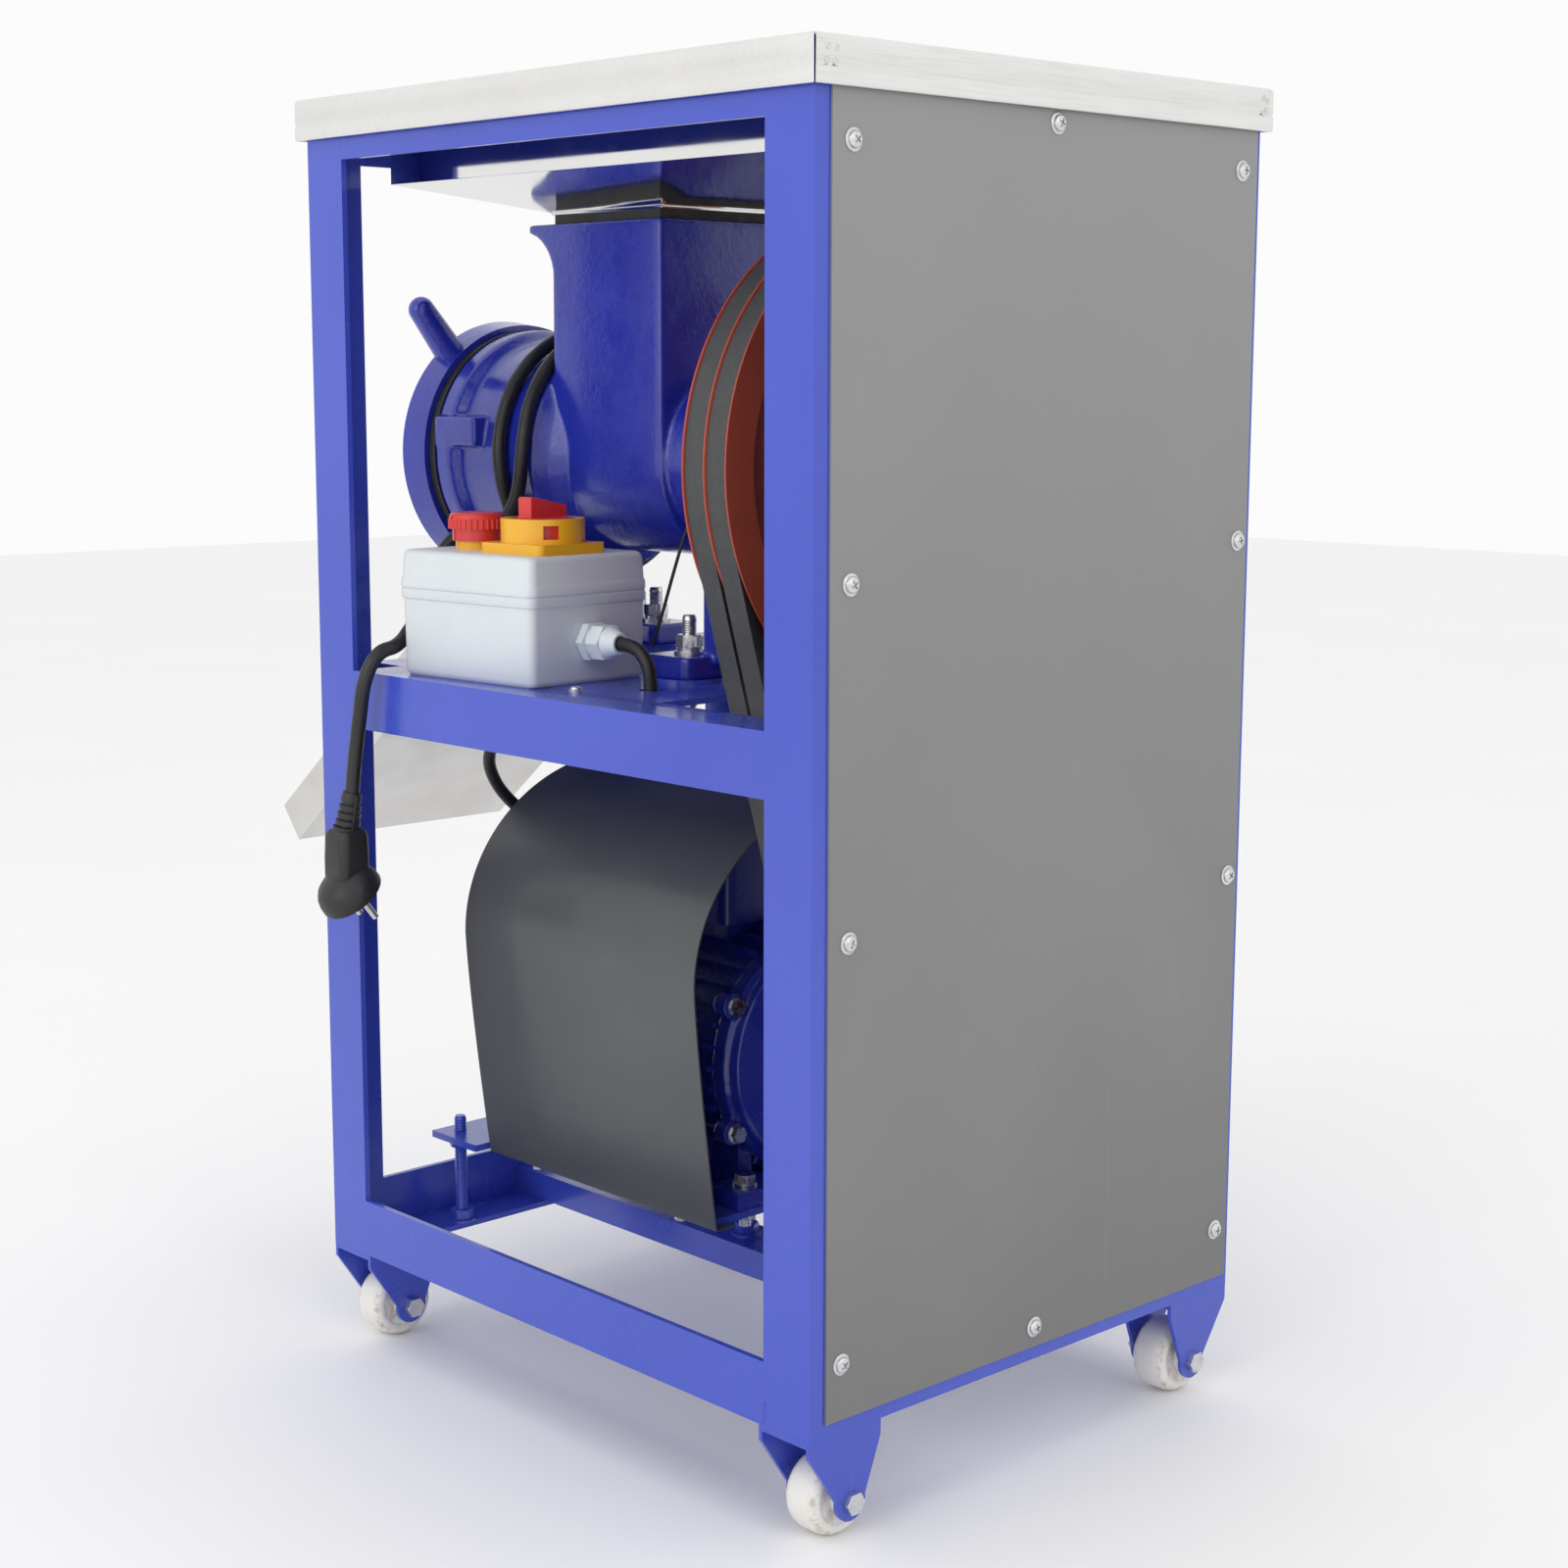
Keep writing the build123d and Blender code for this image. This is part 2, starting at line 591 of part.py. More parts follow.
nut_blank = turned([(NUT_FRONT, NUT_OPENING), (NUT_FRONT, NUT_R - 7), (NUT_FRONT + 7, NUT_R),
                    (NUT_REAR - 0.3, NUT_R - 3), (NUT_REAR - 0.3, NOSE_R + RUN), (NOSE_END - 0.3, NOSE_R + RUN),
                    (NOSE_END - 0.3, NUT_OPENING)], AXIS_Z)
PEG_ANGLE = 51.0
PEG_ROOT_R = 11.5
PEG_END_R = 9.5
PEG_TIP = 142.0
PEG_Y = -283.0


def peg(angle):
    """A round-ended rod that stands out of the ring nut's rim."""
    a = math.radians(angle)
    root = NUT_R - 8
    length = PEG_TIP - root
    base = Vector(math.cos(a) * root, PEG_Y, AXIS_Z + math.sin(a) * root)
    out = Vector(math.cos(a), 0, math.sin(a))
    with BuildPart() as rod:
        with BuildSketch(Plane(origin=base, x_dir=(0, 1, 0), z_dir=Vector(0, 1, 0).cross(out))):
            with BuildLine():
                Line((0, 0), (PEG_ROOT_R, 0))
                Line((PEG_ROOT_R, 0), (PEG_END_R, length - PEG_END_R))
                RadiusArc((PEG_END_R, length - PEG_END_R), (0, length), -PEG_END_R)
                Line((0, length), (0, 0))
            make_face()
        revolve(axis=Axis(base, out))
    return rod.part


pegs = [peg(PEG_ANGLE), peg(PEG_ANGLE + 180)]
with BuildPart() as ring_nut:
    add(nut_blank)
    for rod in pegs:
        add(rod)
save(ring_nut, "ring_nut")

PIN_R = 7.0
plate_blank = ring(NOSE_END, NOSE_END + 12, PLATE_R, PIN_R + RUN, AXIS_Z)
with BuildPart() as orifice_plate:
    add(plate_blank)
    with BuildSketch(facing_y(0, NOSE_END - 1, AXIS_Z, -1)):
        for radius, count in ((18, 6), (31, 12), (44, 18), (55, 24)):
            with PolarLocations(radius, count):
                Circle(4.0)
    extrude(amount=-16, mode=Mode.SUBTRACT)
save(orifice_plate, "orifice_plate")

knife_hub = ring(NOSE_END + 12.3, NOSE_END + 26, 16.0, 8.0, AXIS_Z)
with BuildPart() as knife:
    add(knife_hub)
    with BuildSketch(facing_y(0, NOSE_END + 12.3, AXIS_Z, 1)):
        with PolarLocations(36, 4):
            Rectangle(44, 16)
    extrude(amount=9)
save(knife, "knife")

WORM_Y0 = NOSE_END + 27
WORM_Y1 = NECK_REAR - 13.5
worm_core = turned([(NOSE_END + 2, 0), (NECK_REAR - 30, 0), (NECK_REAR - 30, SHAFT_R), (WORM_Y1, SHAFT_R),
                    (WORM_Y1, 24), (WORM_Y0, 36), (WORM_Y0, 8), (NOSE_END + 12.2, 8),
                    (NOSE_END + 12.2, PIN_R), (NOSE_END + 2, PIN_R)], AXIS_Z)
FLIGHT_PITCH = 52.0
FLIGHT_R = 38.0               # middle of the flight's height
FLIGHT_HIGH = 35.0
FLIGHT_THICK = 7.0
with BuildPart() as flight:
    with BuildLine():
        coil = Helix(pitch=FLIGHT_PITCH, height=WORM_Y1 - WORM_Y0 - 14, radius=FLIGHT_R,
                     center=(0, WORM_Y1 - 7, AXIS_Z), direction=(0, -1, 0))
    start = coil @ 0
    outward = (start - Vector(0, start.Y, AXIS_Z)).normalized()
    with BuildSketch(Plane(origin=start, x_dir=outward, z_dir=coil % 0)):
        Rectangle(FLIGHT_HIGH, FLIGHT_THICK)
    sweep(path=coil, is_frenet=True)
with BuildPart() as worm:
    add(worm_core)
    add(flight.part)
save(worm, "worm")

HUB_END = PULLEY_Y1 + 2.0
SHAFT_END = HUB_END - 0.5
KEY_W = 10.0
KEY_Z = AXIS_Z + SHAFT_R - 4
shaft_blank = turned([(NECK_REAR - 30, 0), (95, 0), (95, 4), (SHAFT_END, 4), (SHAFT_END, SHAFT_R),
                      (NECK_REAR - 30, SHAFT_R)], AXIS_Z)
with BuildPart() as drive_shaft:
    add(shaft_blank)
    with BuildSketch(up(0, 112, KEY_Z)):
        Rectangle(KEY_W, 40)
    extrude(amount=10, mode=Mode.SUBTRACT)
save(drive_shaft, "drive_shaft")

COVER_SCREW_AT = [(41 * math.cos(math.radians(a)), 41 * math.sin(math.radians(a))) for a in (45, 135, 225, 315)]
bearing_cover_blank = turned([(BOSS_END, SHAFT_R + 1), (BOSS_END + 7, SHAFT_R + 1), (BOSS_END + 7, BOSS_R - 2),
                              (BOSS_END + 5, BOSS_R), (BOSS_END, BOSS_R)], AXIS_Z)
with BuildPart() as bearing_cover:
    add(bearing_cover_blank)
save(bearing_cover, "bearing_cover")

# ---------------------------------------------------------------- pulleys and belts
def grooved(rim_r, inner_points):
    """Outline of a two-groove V pulley from its rim and the (y, radius) points inside it."""
    low = GROOVE_HALF - GROOVE_SLOPE * GROOVE_DEPTH
    outline = [(PULLEY_Y0, rim_r)]
    for y in GROOVES_Y:
        outline += [(y - GROOVE_HALF, rim_r), (y - low, rim_r - GROOVE_DEPTH),
                    (y + low, rim_r - GROOVE_DEPTH), (y + GROOVE_HALF, rim_r)]
    outline += [(PULLEY_Y1, rim_r)]
    return outline + inner_points


big_blank = turned(grooved(PULLEY_R, [(PULLEY_Y1, 136), (113, 132), (111, 46), (HUB_END, 38),
                                      (HUB_END, SHAFT_R), (84, SHAFT_R), (84, 38), (101, 46),
                                      (103, 132), (PULLEY_Y0, 136)]), AXIS_Z)
with BuildPart() as big_pulley:
    add(big_blank)
    with BuildSketch(facing_y(0, PULLEY_Y1, AXIS_Z)):
        with PolarLocations(88, 5):
            Circle(27)
    extrude(amount=-50, mode=Mode.SUBTRACT)
    with BuildSketch(up(0, 108, AXIS_Z)):
        Rectangle(KEY_W, 60)
    extrude(amount=SHAFT_R + 4, mode=Mode.SUBTRACT)
save(big_pulley, "big_pulley")

with BuildPart() as pulley_key:
    with BuildSketch(up(0, 112, KEY_Z)):
        Rectangle(KEY_W, 38)
    extrude(amount=7.9)
save(pulley_key, "pulley_key")

pulley_bolt = hex_bolts([facing_y(0, HUB_END, AXIS_Z)], 4.0, 30, 17, 8, 22, 4)
save(pulley_bolt, "pulley_bolt")

motor_pulley_blank = turned(grooved(MOTOR_PULLEY_R, [(PULLEY_Y1, 26), (PULLEY_Y1 + 4, 26),
                                                     (PULLEY_Y1 + 4, MOTOR_SHAFT_R), (PULLEY_Y0, MOTOR_SHAFT_R)]),
                            MOTOR_Z)
with BuildPart() as motor_pulley:
    add(motor_pulley_blank)
save(motor_pulley, "motor_pulley")

BELT_TOP = 1.2
BELT_DEPTH = 10.8


def belt(y):
    """One V-belt: its trapezium section swept round both pulleys."""
    mid = BELT_TOP + BELT_DEPTH / 2
    big = PULLEY_R - mid
    small = MOTOR_PULLEY_R - mid
    span = AXIS_Z - MOTOR_Z
    sine = (big - small) / span
    cosine = math.sqrt(1 - sine ** 2)
    right_top = (big * cosine, AXIS_Z - big * sine)
    right_low = (small * cosine, MOTOR_Z - small * sine)
    with BuildPart() as loop:
        with BuildLine(Plane(origin=(0, y, 0), x_dir=(1, 0, 0), z_dir=(0, -1, 0))) as route:
            Line(right_low, right_top)
            ThreePointArc(right_top, (0, AXIS_Z + big), (-right_top[0], right_top[1]))
            Line((-right_top[0], right_top[1]), (-right_low[0], right_low[1]))
            ThreePointArc((-right_low[0], right_low[1]), (0, MOTOR_Z - small), right_low)
        start = Vector(right_low[0], y, right_low[1])
        along = Vector(right_top[0], y, right_top[1]) - start
        half_top = GROOVE_HALF - GROOVE_SLOPE * BELT_TOP - 0.35
        half_low = GROOVE_HALF - GROOVE_SLOPE * (BELT_TOP + BELT_DEPTH) - 0.35
        with BuildSketch(Plane(origin=start, x_dir=(0, 1, 0), z_dir=along)):
            with BuildLine():
                Polyline((-half_low, BELT_DEPTH / 2), (half_low, BELT_DEPTH / 2),
                         (half_top, -BELT_DEPTH / 2), (-half_top, -BELT_DEPTH / 2), close=True)
            make_face()
        sweep(path=route.wires()[0])
    return loop.part


belt_solids = [belt(y) for y in GROOVES_Y]
with BuildPart() as drive_belts:
    for solid in belt_solids:
        add(solid)
save(drive_belts, "drive_belts")

# ---------------------------------------------------------------- motor
BODY_Y0 = -130.0
BODY_Y1 = 30.0
ROTOR_R = 55.0
EAR_ANGLES = (30.6, 149.4, 210.6, 329.4)
EAR_R = 85.8
TERMINAL_Z = MOTOR_Z + MOTOR_R + 1
TERMINAL_Y = -52.0

MOTOR_FINS = 36
with BuildPart() as motor_housing:
    with BuildSketch(facing_y(0, BODY_Y1, MOTOR_Z, -1)):
        Circle(MOTOR_R - 7)
        with PolarLocations(MOTOR_R - 5, MOTOR_FINS):
            Rectangle(10, 3)
        Circle(ROTOR_R + 1.0, mode=Mode.SUBTRACT)
    extrude(amount=BODY_Y1 - BODY_Y0)
    for y in MOTOR_FOOT_Y:
        for side in (1, -1):
            with BuildSketch(up(side * (MOTOR_FOOT_X - 3), y, PLATE_TOP)):
                Rectangle(46, 30)
            extrude(amount=12)
    with BuildSketch(up(0, TERMINAL_Y, MOTOR_Z + ROTOR_R + 10)):
        Rectangle(76, 98)
    extrude(amount=TERMINAL_Z - MOTOR_Z - ROTOR_R - 10)
    for side in (1, -1):
        with BuildSketch(up(side * 52, (BODY_Y0 + BODY_Y1) / 2, PLATE_TOP)):
            Rectangle(12, BODY_Y1 - BODY_Y0)
        extrude(amount=40)
    with BuildSketch(Plane.XY.offset(PLATE_TOP + 20)):
        for y in MOTOR_FOOT_Y:
            with Locations((MOTOR_FOOT_X, y), (-MOTOR_FOOT_X, y)):
                Circle(4.0)
    extrude(amount=-40, mode=Mode.SUBTRACT)
save(motor_housing, "motor_housing")


def end_shield(outline, y_face, sign):
    """A turned end shield with four ears for the tie bolts."""
    blank = turned(outline, MOTOR_Z)
    with BuildPart() as shield:
        add(blank)
        with BuildSketch(facing_y(0, y_face, MOTOR_Z, sign)):
            for angle in EAR_ANGLES:
                a = math.radians(angle)
                with Locations((-sign * EAR_R * math.cos(a), EAR_R * math.sin(a))):
                    Circle(9.0)
                    Circle(3.0, mode=Mode.SUBTRACT)
        extrude(amount=-12)
        with BuildSketch(facing_y(0, y_face + sign, MOTOR_Z, sign)):
            for angle in EAR_ANGLES:
                a = math.radians(angle)
                with Locations((-sign * EAR_R * math.cos(a), EAR_R * math.sin(a))):
                    Circle(3.0)
        extrude(amount=-16, mode=Mode.SUBTRACT)
    return shield


MB_R = 26.0
front_outline = [(BODY_Y1, 82), (BODY_Y1 + 11, 82), (BODY_Y1 + 14, 78.5), (BODY_Y1 + 20, 76), (60, 50), (62, 45),
                 (86, 45), (86, MOTOR_SHAFT_R + 0.6), (76, MOTOR_SHAFT_R + 0.6), (76, MB_R), (61, MB_R),
                 (55, 40), (BODY_Y1 + 8, 70), (BODY_Y1, 72)]
front_shield = end_shield(front_outline, BODY_Y1 + 14, 1)
save(front_shield, "motor_front_shield")
rear_shield = end_shield([(BODY_Y0, 82), (BODY_Y0 - 12, 82), (BODY_Y0 - 12, 76.5), (BODY_Y0 - 15, 74),
                          (BODY_Y0 - 15, MB_R), (BODY_Y0, MB_R)], BODY_Y0 - 12, -1)
save(rear_shield, "motor_rear_shield")

front_planes = []
rear_planes = []
for angle in EAR_ANGLES:
    a = math.radians(angle)
    front_planes.append(facing_y(EAR_R * math.cos(a), BODY_Y1 + 14, MOTOR_Z + EAR_R * math.sin(a)))
    rear_planes.append(facing_y(EAR_R * math.cos(a), BODY_Y0 - 12, MOTOR_Z + EAR_R * math.sin(a), -1))
cover_planes = [facing_y(x, BOSS_END + 7, AXIS_Z + z) for x, z in COVER_SCREW_AT]
chute_planes = [facing_y(x, -HALF_D - SHEET, CHUTE_BOLT_Z, -1) for x in (CHUTE_BOLT_X, -CHUTE_BOLT_X)]
cover_screw_planes = [Plane(origin=(x, y, COVER_LOW), x_dir=(1, 0, 0), z_dir=(0, 0, -1))
                      for x, y in COVER_SCREWS]
screw_set = hex_bolts(front_planes + rear_planes + chute_planes, SCREW_R, 11.9, 10, 5, 6.5, 1.2)
short_set = hex_bolts(cover_screw_planes, SCREW_R, 5.5, 8, 4, 5.5, 1.0)
with BuildPart() as hex_screws:
    add(screw_set.part)
    add(short_set.part)
    for plane in cover_planes:
        with BuildSketch(plane):
            RegularPolygon(4.0, 6, major_radius=False)
        extrude(amount=4)
    for x in (CHUTE_BOLT_X, -CHUTE_BOLT_X):
        with BuildSketch(facing_y(x, -HALF_D + STEEL, CHUTE_BOLT_Z)):
            RegularPolygon(5.0, 6, major_radius=False)
        extrude(amount=5)
save(hex_screws, "hex_screws")

bearing_blanks = [ring(NECK_REAR - 12, -4, 22.0, SHAFT_R + RUN, AXIS_Z),
                  ring(BEARING_Y0, BEARING_Y1, BEARING_R, SHAFT_R + RUN, AXIS_Z),
                  ring(61, 76, MB_R, MOTOR_SHAFT_R + RUN, MOTOR_Z),
                  ring(BODY_Y0 - 15, BODY_Y0, MB_R, MOTOR_SHAFT_R + RUN, MOTOR_Z)]
with BuildPart() as shaft_bearings:
    for blank in bearing_blanks:
        add(blank)
save(shaft_bearings, "shaft_bearings")

rotor_blank = turned([(-178, 0), (138, 0), (138, MOTOR_SHAFT_R), (10, MOTOR_SHAFT_R), (10, ROTOR_R),
                      (-110, ROTOR_R), (-110, MOTOR_SHAFT_R), (-178, MOTOR_SHAFT_R)], MOTOR_Z)
with BuildPart() as motor_shaft:
    add(rotor_blank)
save(motor_shaft, "motor_shaft")

fan_blank = turned([(-176, MOTOR_SHAFT_R), (-152, MOTOR_SHAFT_R), (-152, 66), (-155, 66), (-157, 22),
                    (-176, 22)], MOTOR_Z)
FAN_BLADES = 7
with BuildPart() as motor_fan:
    add(fan_blank)
    with BuildSketch(facing_y(0, -154, MOTOR_Z, -1)):
        with PolarLocations(43, FAN_BLADES):
            Rectangle(46, 3)
    extrude(amount=20)
save(motor_fan, "motor_fan")

cowl_blank = turned([(BODY_Y0 - 12, 78), (BODY_Y0 - 12, 76.5), (-196, 76.5), (-203, 70), (-203, 0),
                     (-204.5, 0), (-204.5, 71), (-197, 78)], MOTOR_Z)
with BuildPart() as fan_cowl:
    add(cowl_blank)
    with BuildSketch(facing_y(0, -200, MOTOR_Z, -1)):
        for radius, count in ((24, 8), (40, 14), (56, 20)):
            with PolarLocations(radius, count):
                Circle(4.5)
    extrude(amount=10, mode=Mode.SUBTRACT)
save(fan_cowl, "fan_cowl")

with BuildPart() as terminal_box:
    with BuildSketch(up(0, TERMINAL_Y, TERMINAL_Z)):
        RectangleRounded(88, 110, 10)
    extrude(amount=66)
    fillet(terminal_box.faces().sort_by(Axis.Z)[-1].edges(), radius=6)
    with BuildSketch(up(0, TERMINAL_Y, TERMINAL_Z + 62)):
        Rectangle(80, 102)
    extrude(amount=-60, mode=Mode.SUBTRACT)
    with BuildSketch(facing_y(22, -108, TERMINAL_Z + 30, -1)):
        Circle(MOTOR_LEAD_R + 1)
    extrude(amount=-8, mode=Mode.SUBTRACT)
save(terminal_box, "motor_terminal_box")

with BuildPart() as motor_plate:
    with BuildSketch(Plane.XY.offset(PLATE_TOP - PLATE_T)):
        with BuildLine():
            Polyline((-PLATE_EAR, -228), (PLATE_EAR, -228), (PLATE_EAR, COVER_Y0 - 3), (PLATE_HALF, COVER_Y0 - 3),
                     (PLATE_HALF, 66), (56, 66), (56, 20), (-56, 20), (-56, 66), (-PLATE_HALF, 66),
                     (-PLATE_HALF, COVER_Y0 - 3), (-PLATE_EAR, COVER_Y0 - 3), close=True)
        make_face()
    extrude(amount=PLATE_T)
    with BuildSketch(Plane.XY.offset(PLATE_TOP + 1)):
        for y in MOTOR_FOOT_Y:
            with Locations((MOTOR_FOOT_X, y), (-MOTOR_FOOT_X, y)):
                Circle(4.0)
        for x, y in JACK_STUDS:
            with Locations((x, y)):
                Circle(JACK_R)
        for x, y in COVER_SCREWS:
            with Locations((x, y)):
                Circle(SCREW_R)
    extrude(amount=-10, mode=Mode.SUBTRACT)
save(motor_plate, "motor_plate")

motor_foot_planes = [up(side * MOTOR_FOOT_X, y, PLATE_TOP + 12) for y in MOTOR_FOOT_Y for side in (1, -1)]
foot_set = hex_bolts(motor_foot_planes, 4.0, 29, 13, 5.5, 8.5, 1.6)
with BuildPart() as motor_foot_bolts:
    add(foot_set.part)
    for y in MOTOR_FOOT_Y:
        for side in (1, -1):
            with BuildSketch(up(side * MOTOR_FOOT_X, y, PLATE_TOP - PLATE_T)):
                RegularPolygon(6.5, 6, major_radius=False)
            extrude(amount=-7)
save(motor_foot_bolts, "motor_foot_bolts")

JACK_NUT_AF = 15.0
with BuildPart() as jack_studs:
    for index, (x, y) in enumerate(JACK_STUDS):
        outer = index < 2
        seat = FRAME_Z + STEEL if outer else RAIL_TOP
        low = seat - STEEL if outer else seat - 2
        end = 11.0 if outer else 3.4
        with BuildSketch(up(x, y, low)):
            Circle(JACK_R)
        extrude(amount=PLATE_TOP + end - low)
        with BuildSketch(up(x, y, seat)):
            Circle(10.5)
        extrude(amount=2)
        with BuildSketch(up(x, y, seat + 2)):
            RegularPolygon(JACK_NUT_AF / 2, 6, major_radius=False)
        extrude(amount=7)
        with BuildSketch(up(x, y, PLATE_TOP - PLATE_T)):
            RegularPolygon(JACK_NUT_AF / 2, 6, major_radius=False)
        extrude(amount=-7)
save(jack_studs, "jack_studs")

# ---------------------------------------------------------------- motor cover


def cover_shell(inset):
    """A bar of the cover's section: half-ellipse shoulders over sides that lean in."""
    half = COVER_HALF - inset
    rise = COVER_RISE - inset
    foot = COVER_FOOT - inset
    diagonal = math.sin(math.pi / 4)
    with BuildPart() as bar:
        with BuildSketch(Plane.XZ.offset(-COVER_Y1)):
            with BuildLine():
                Spline((half, COVER_MID_Z), (half * diagonal, COVER_MID_Z + rise * diagonal),
                       (0, COVER_MID_Z + rise), (-half * diagonal, COVER_MID_Z + rise * diagonal),
                       (-half, COVER_MID_Z), tangents=[(0, 1), (0, -1)])
                Polyline((-half, COVER_MID_Z), (-foot, COVER_LOW + inset), (foot, COVER_LOW + inset),
                         (half, COVER_MID_Z))
            make_face()
        extrude(amount=COVER_Y1 - COVER_Y0)
    return bar.part


outer_bar = cover_shell(0)
inner_bar = cover_shell(COVER_T)
with BuildPart() as motor_cover:
    add(outer_bar)
    add(inner_bar, mode=Mode.SUBTRACT)
    with BuildSketch(up(0, (COVER_Y0 + COVER_Y1) / 2, COVER_LOW - 1)):
        Rectangle(2 * (COVER_FOOT - COVER_FLANGE), COVER_Y1 - COVER_Y0 + 10)
    extrude(amount=4, mode=Mode.SUBTRACT)
    with BuildSketch(Plane.XY.offset(COVER_LOW - 1)):
        for x, y in COVER_SCREWS:
            with Locations((x, y)):
                Circle(SCREW_R)
    extrude(amount=4, mode=Mode.SUBTRACT)
save(motor_cover, "motor_cover")

# ---------------------------------------------------------------- chute
CHUTE_TOP_Z = FRAME_Z + 414.0
CHUTE_LIP = (-440.0, FRAME_Z + 258.5)
CHUTE_WALL = 32.0
CHUTE_BACK = 60.0             # extra length that is trimmed off at the rail
chute_run = Vector(0, CHUTE_LIP[0] + HALF_D, CHUTE_LIP[1] - CHUTE_TOP_Z)
chute_plane = Plane(origin=(0, -HALF_D, CHUTE_TOP_Z), x_dir=(1, 0, 0), z_dir=chute_run)

with BuildPart() as chute:
    with BuildSketch(chute_plane.offset(-CHUTE_BACK)):
        with Locations((0, CHUTE_WALL / 2)):
            Rectangle(2 * CHUTE_HALF, CHUTE_WALL)
        with Locations((0, CHUTE_WALL / 2 + SHEET)):
            Rectangle(2 * (CHUTE_HALF - SHEET), CHUTE_WALL, mode=Mode.SUBTRACT)
    extrude(amount=CHUTE_BACK + chute_run.length)
    with BuildSketch(facing_y(0, -HALF_D, CHUTE_TOP_Z)):
        Rectangle(2 * CHUTE_HALF + 10, 300)
    extrude(amount=100, mode=Mode.SUBTRACT)
    with BuildSketch(facing_y(0, -HALF_D, CHUTE_TOP_Z - 11, -1)):
        Rectangle(2 * CHUTE_HALF, 24)
    extrude(amount=SHEET)
    with BuildSketch(facing_y(0, -HALF_D - 5, CHUTE_BOLT_Z, -1)):
        with Locations((CHUTE_BOLT_X, 0), (-CHUTE_BOLT_X, 0)):
            Circle(SCREW_R)
    extrude(amount=-10, mode=Mode.SUBTRACT)
save(chute, "chute")

# ---------------------------------------------------------------- switch box
BOX_WALL = 3.0
BOX_BASE_H = BOX_H - LID_H
GLAND_Z = 28.0
GLAND_LEN = 29.0
GLAND_HOLE = 9.0
GLAND_SINK = 0.4              # the wall leans in a little where the gland sits
STEM_R = 5.0

with BuildPart() as switch_box_base:
    with BuildSketch(BOX):
        RectangleRounded(BOX_X - 3, BOX_Y - 3, 5)
    with BuildSketch(BOX.offset(BOX_BASE_H)):
        RectangleRounded(BOX_X, BOX_Y, 6)
    loft()
    with BuildSketch(BOX.offset(BOX_WALL)):
        RectangleRounded(BOX_X - 3 - 2 * BOX_WALL, BOX_Y - 3 - 2 * BOX_WALL, 3)
    extrude(amount=BOX_BASE_H, mode=Mode.SUBTRACT)
    with BuildSketch(Plane(origin=BOX.origin + BOX.z_dir * GLAND_Z, x_dir=BOX.x_dir, z_dir=BOX.y_dir)):
        Circle(GLAND_HOLE)
    extrude(amount=BOX_Y, both=True, mode=Mode.SUBTRACT)
save(switch_box_base, "switch_box_base")

LID_SCREW_AT = (BOX_X / 2 - 9, BOX_Y / 2 - 9)
with BuildPart() as switch_box_lid:
    with BuildSketch(BOX.offset(BOX_BASE_H)):
        RectangleRounded(BOX_X + 2, BOX_Y + 2, 6)
    extrude(amount=LID_H)
    fillet(switch_box_lid.faces().sort_by(Axis.Z)[-1].edges(), radius=2.0)
    with BuildSketch(BOX.offset(BOX_BASE_H)):
        RectangleRounded(BOX_X - 2 * BOX_WALL, BOX_Y - 2 * BOX_WALL, 3)
    extrude(amount=LID_H - BOX_WALL, mode=Mode.SUBTRACT)
    with BuildSketch(LID_TOP):
        with Locations(STOP_AT, ISOLATOR_AT):
            Circle(STEM_R + 4)
        with GridLocations(2 * LID_SCREW_AT[0], 2 * LID_SCREW_AT[1], 2, 2):
            Circle(4.5)
    extrude(amount=-BOX_WALL + 1, mode=Mode.SUBTRACT)
    with BuildSketch(LID_TOP):
        with Locations(STOP_AT, ISOLATOR_AT):
            Circle(STEM_R + 4)
    extrude(amount=-BOX_WALL - 1, mode=Mode.SUBTRACT)
save(switch_box_lid, "switch_box_lid")

with BuildPart() as lid_screws:
    with BuildSketch(LID_TOP.offset(-BOX_WALL + 1)):
        with GridLocations(2 * LID_SCREW_AT[0], 2 * LID_SCREW_AT[1], 2, 2):
            Circle(4.0)
    extrude(amount=1.6)
    with BuildSketch(LID_TOP.offset(-BOX_WALL + 2.6)):
        with GridLocations(2 * LID_SCREW_AT[0], 2 * LID_SCREW_AT[1], 2, 2):
            Rectangle(5.5, 1.2)
    extrude(amount=-1.0, mode=Mode.SUBTRACT)
save(lid_screws, "lid_screws")


def gland(sign):
    """A hexagonal cable gland on one end wall, with its dome nut outside."""
    face = BOX_Y / 2 - GLAND_SINK
    base = Plane(origin=BOX.origin + BOX.z_dir * GLAND_Z + BOX.y_dir * (sign * face),
                 x_dir=BOX.x_dir, z_dir=BOX.y_dir * sign)
    with BuildPart() as body:
        with BuildSketch(base):
            RegularPolygon(12.0, 6, major_radius=False)
        extrude(amount=6)
        with BuildSketch(base.offset(6)):
            Circle(10.0)
        extrude(amount=2)
        with BuildSketch(base.offset(8)):
            RegularPolygon(11.0, 6, major_radius=False)
        extrude(amount=11)
        with BuildSketch(base.offset(19)):
            Circle(10.5)
        with BuildSketch(base.offset(GLAND_LEN)):
            Circle(7.0)
        loft()
        with BuildSketch(base):
            Circle(GLAND_HOLE)
        extrude(amount=-6)
        with BuildSketch(base.offset(GLAND_LEN - 2)):
            Circle(LEAD_R + 0.2)
        extrude(amount=3, mode=Mode.SUBTRACT)
    return body.part


gland_solids = [gland(1), gland(-1)]
with BuildPart() as cable_glands:
    for solid in gland_solids:
        add(solid)
save(cable_glands, "cable_glands")

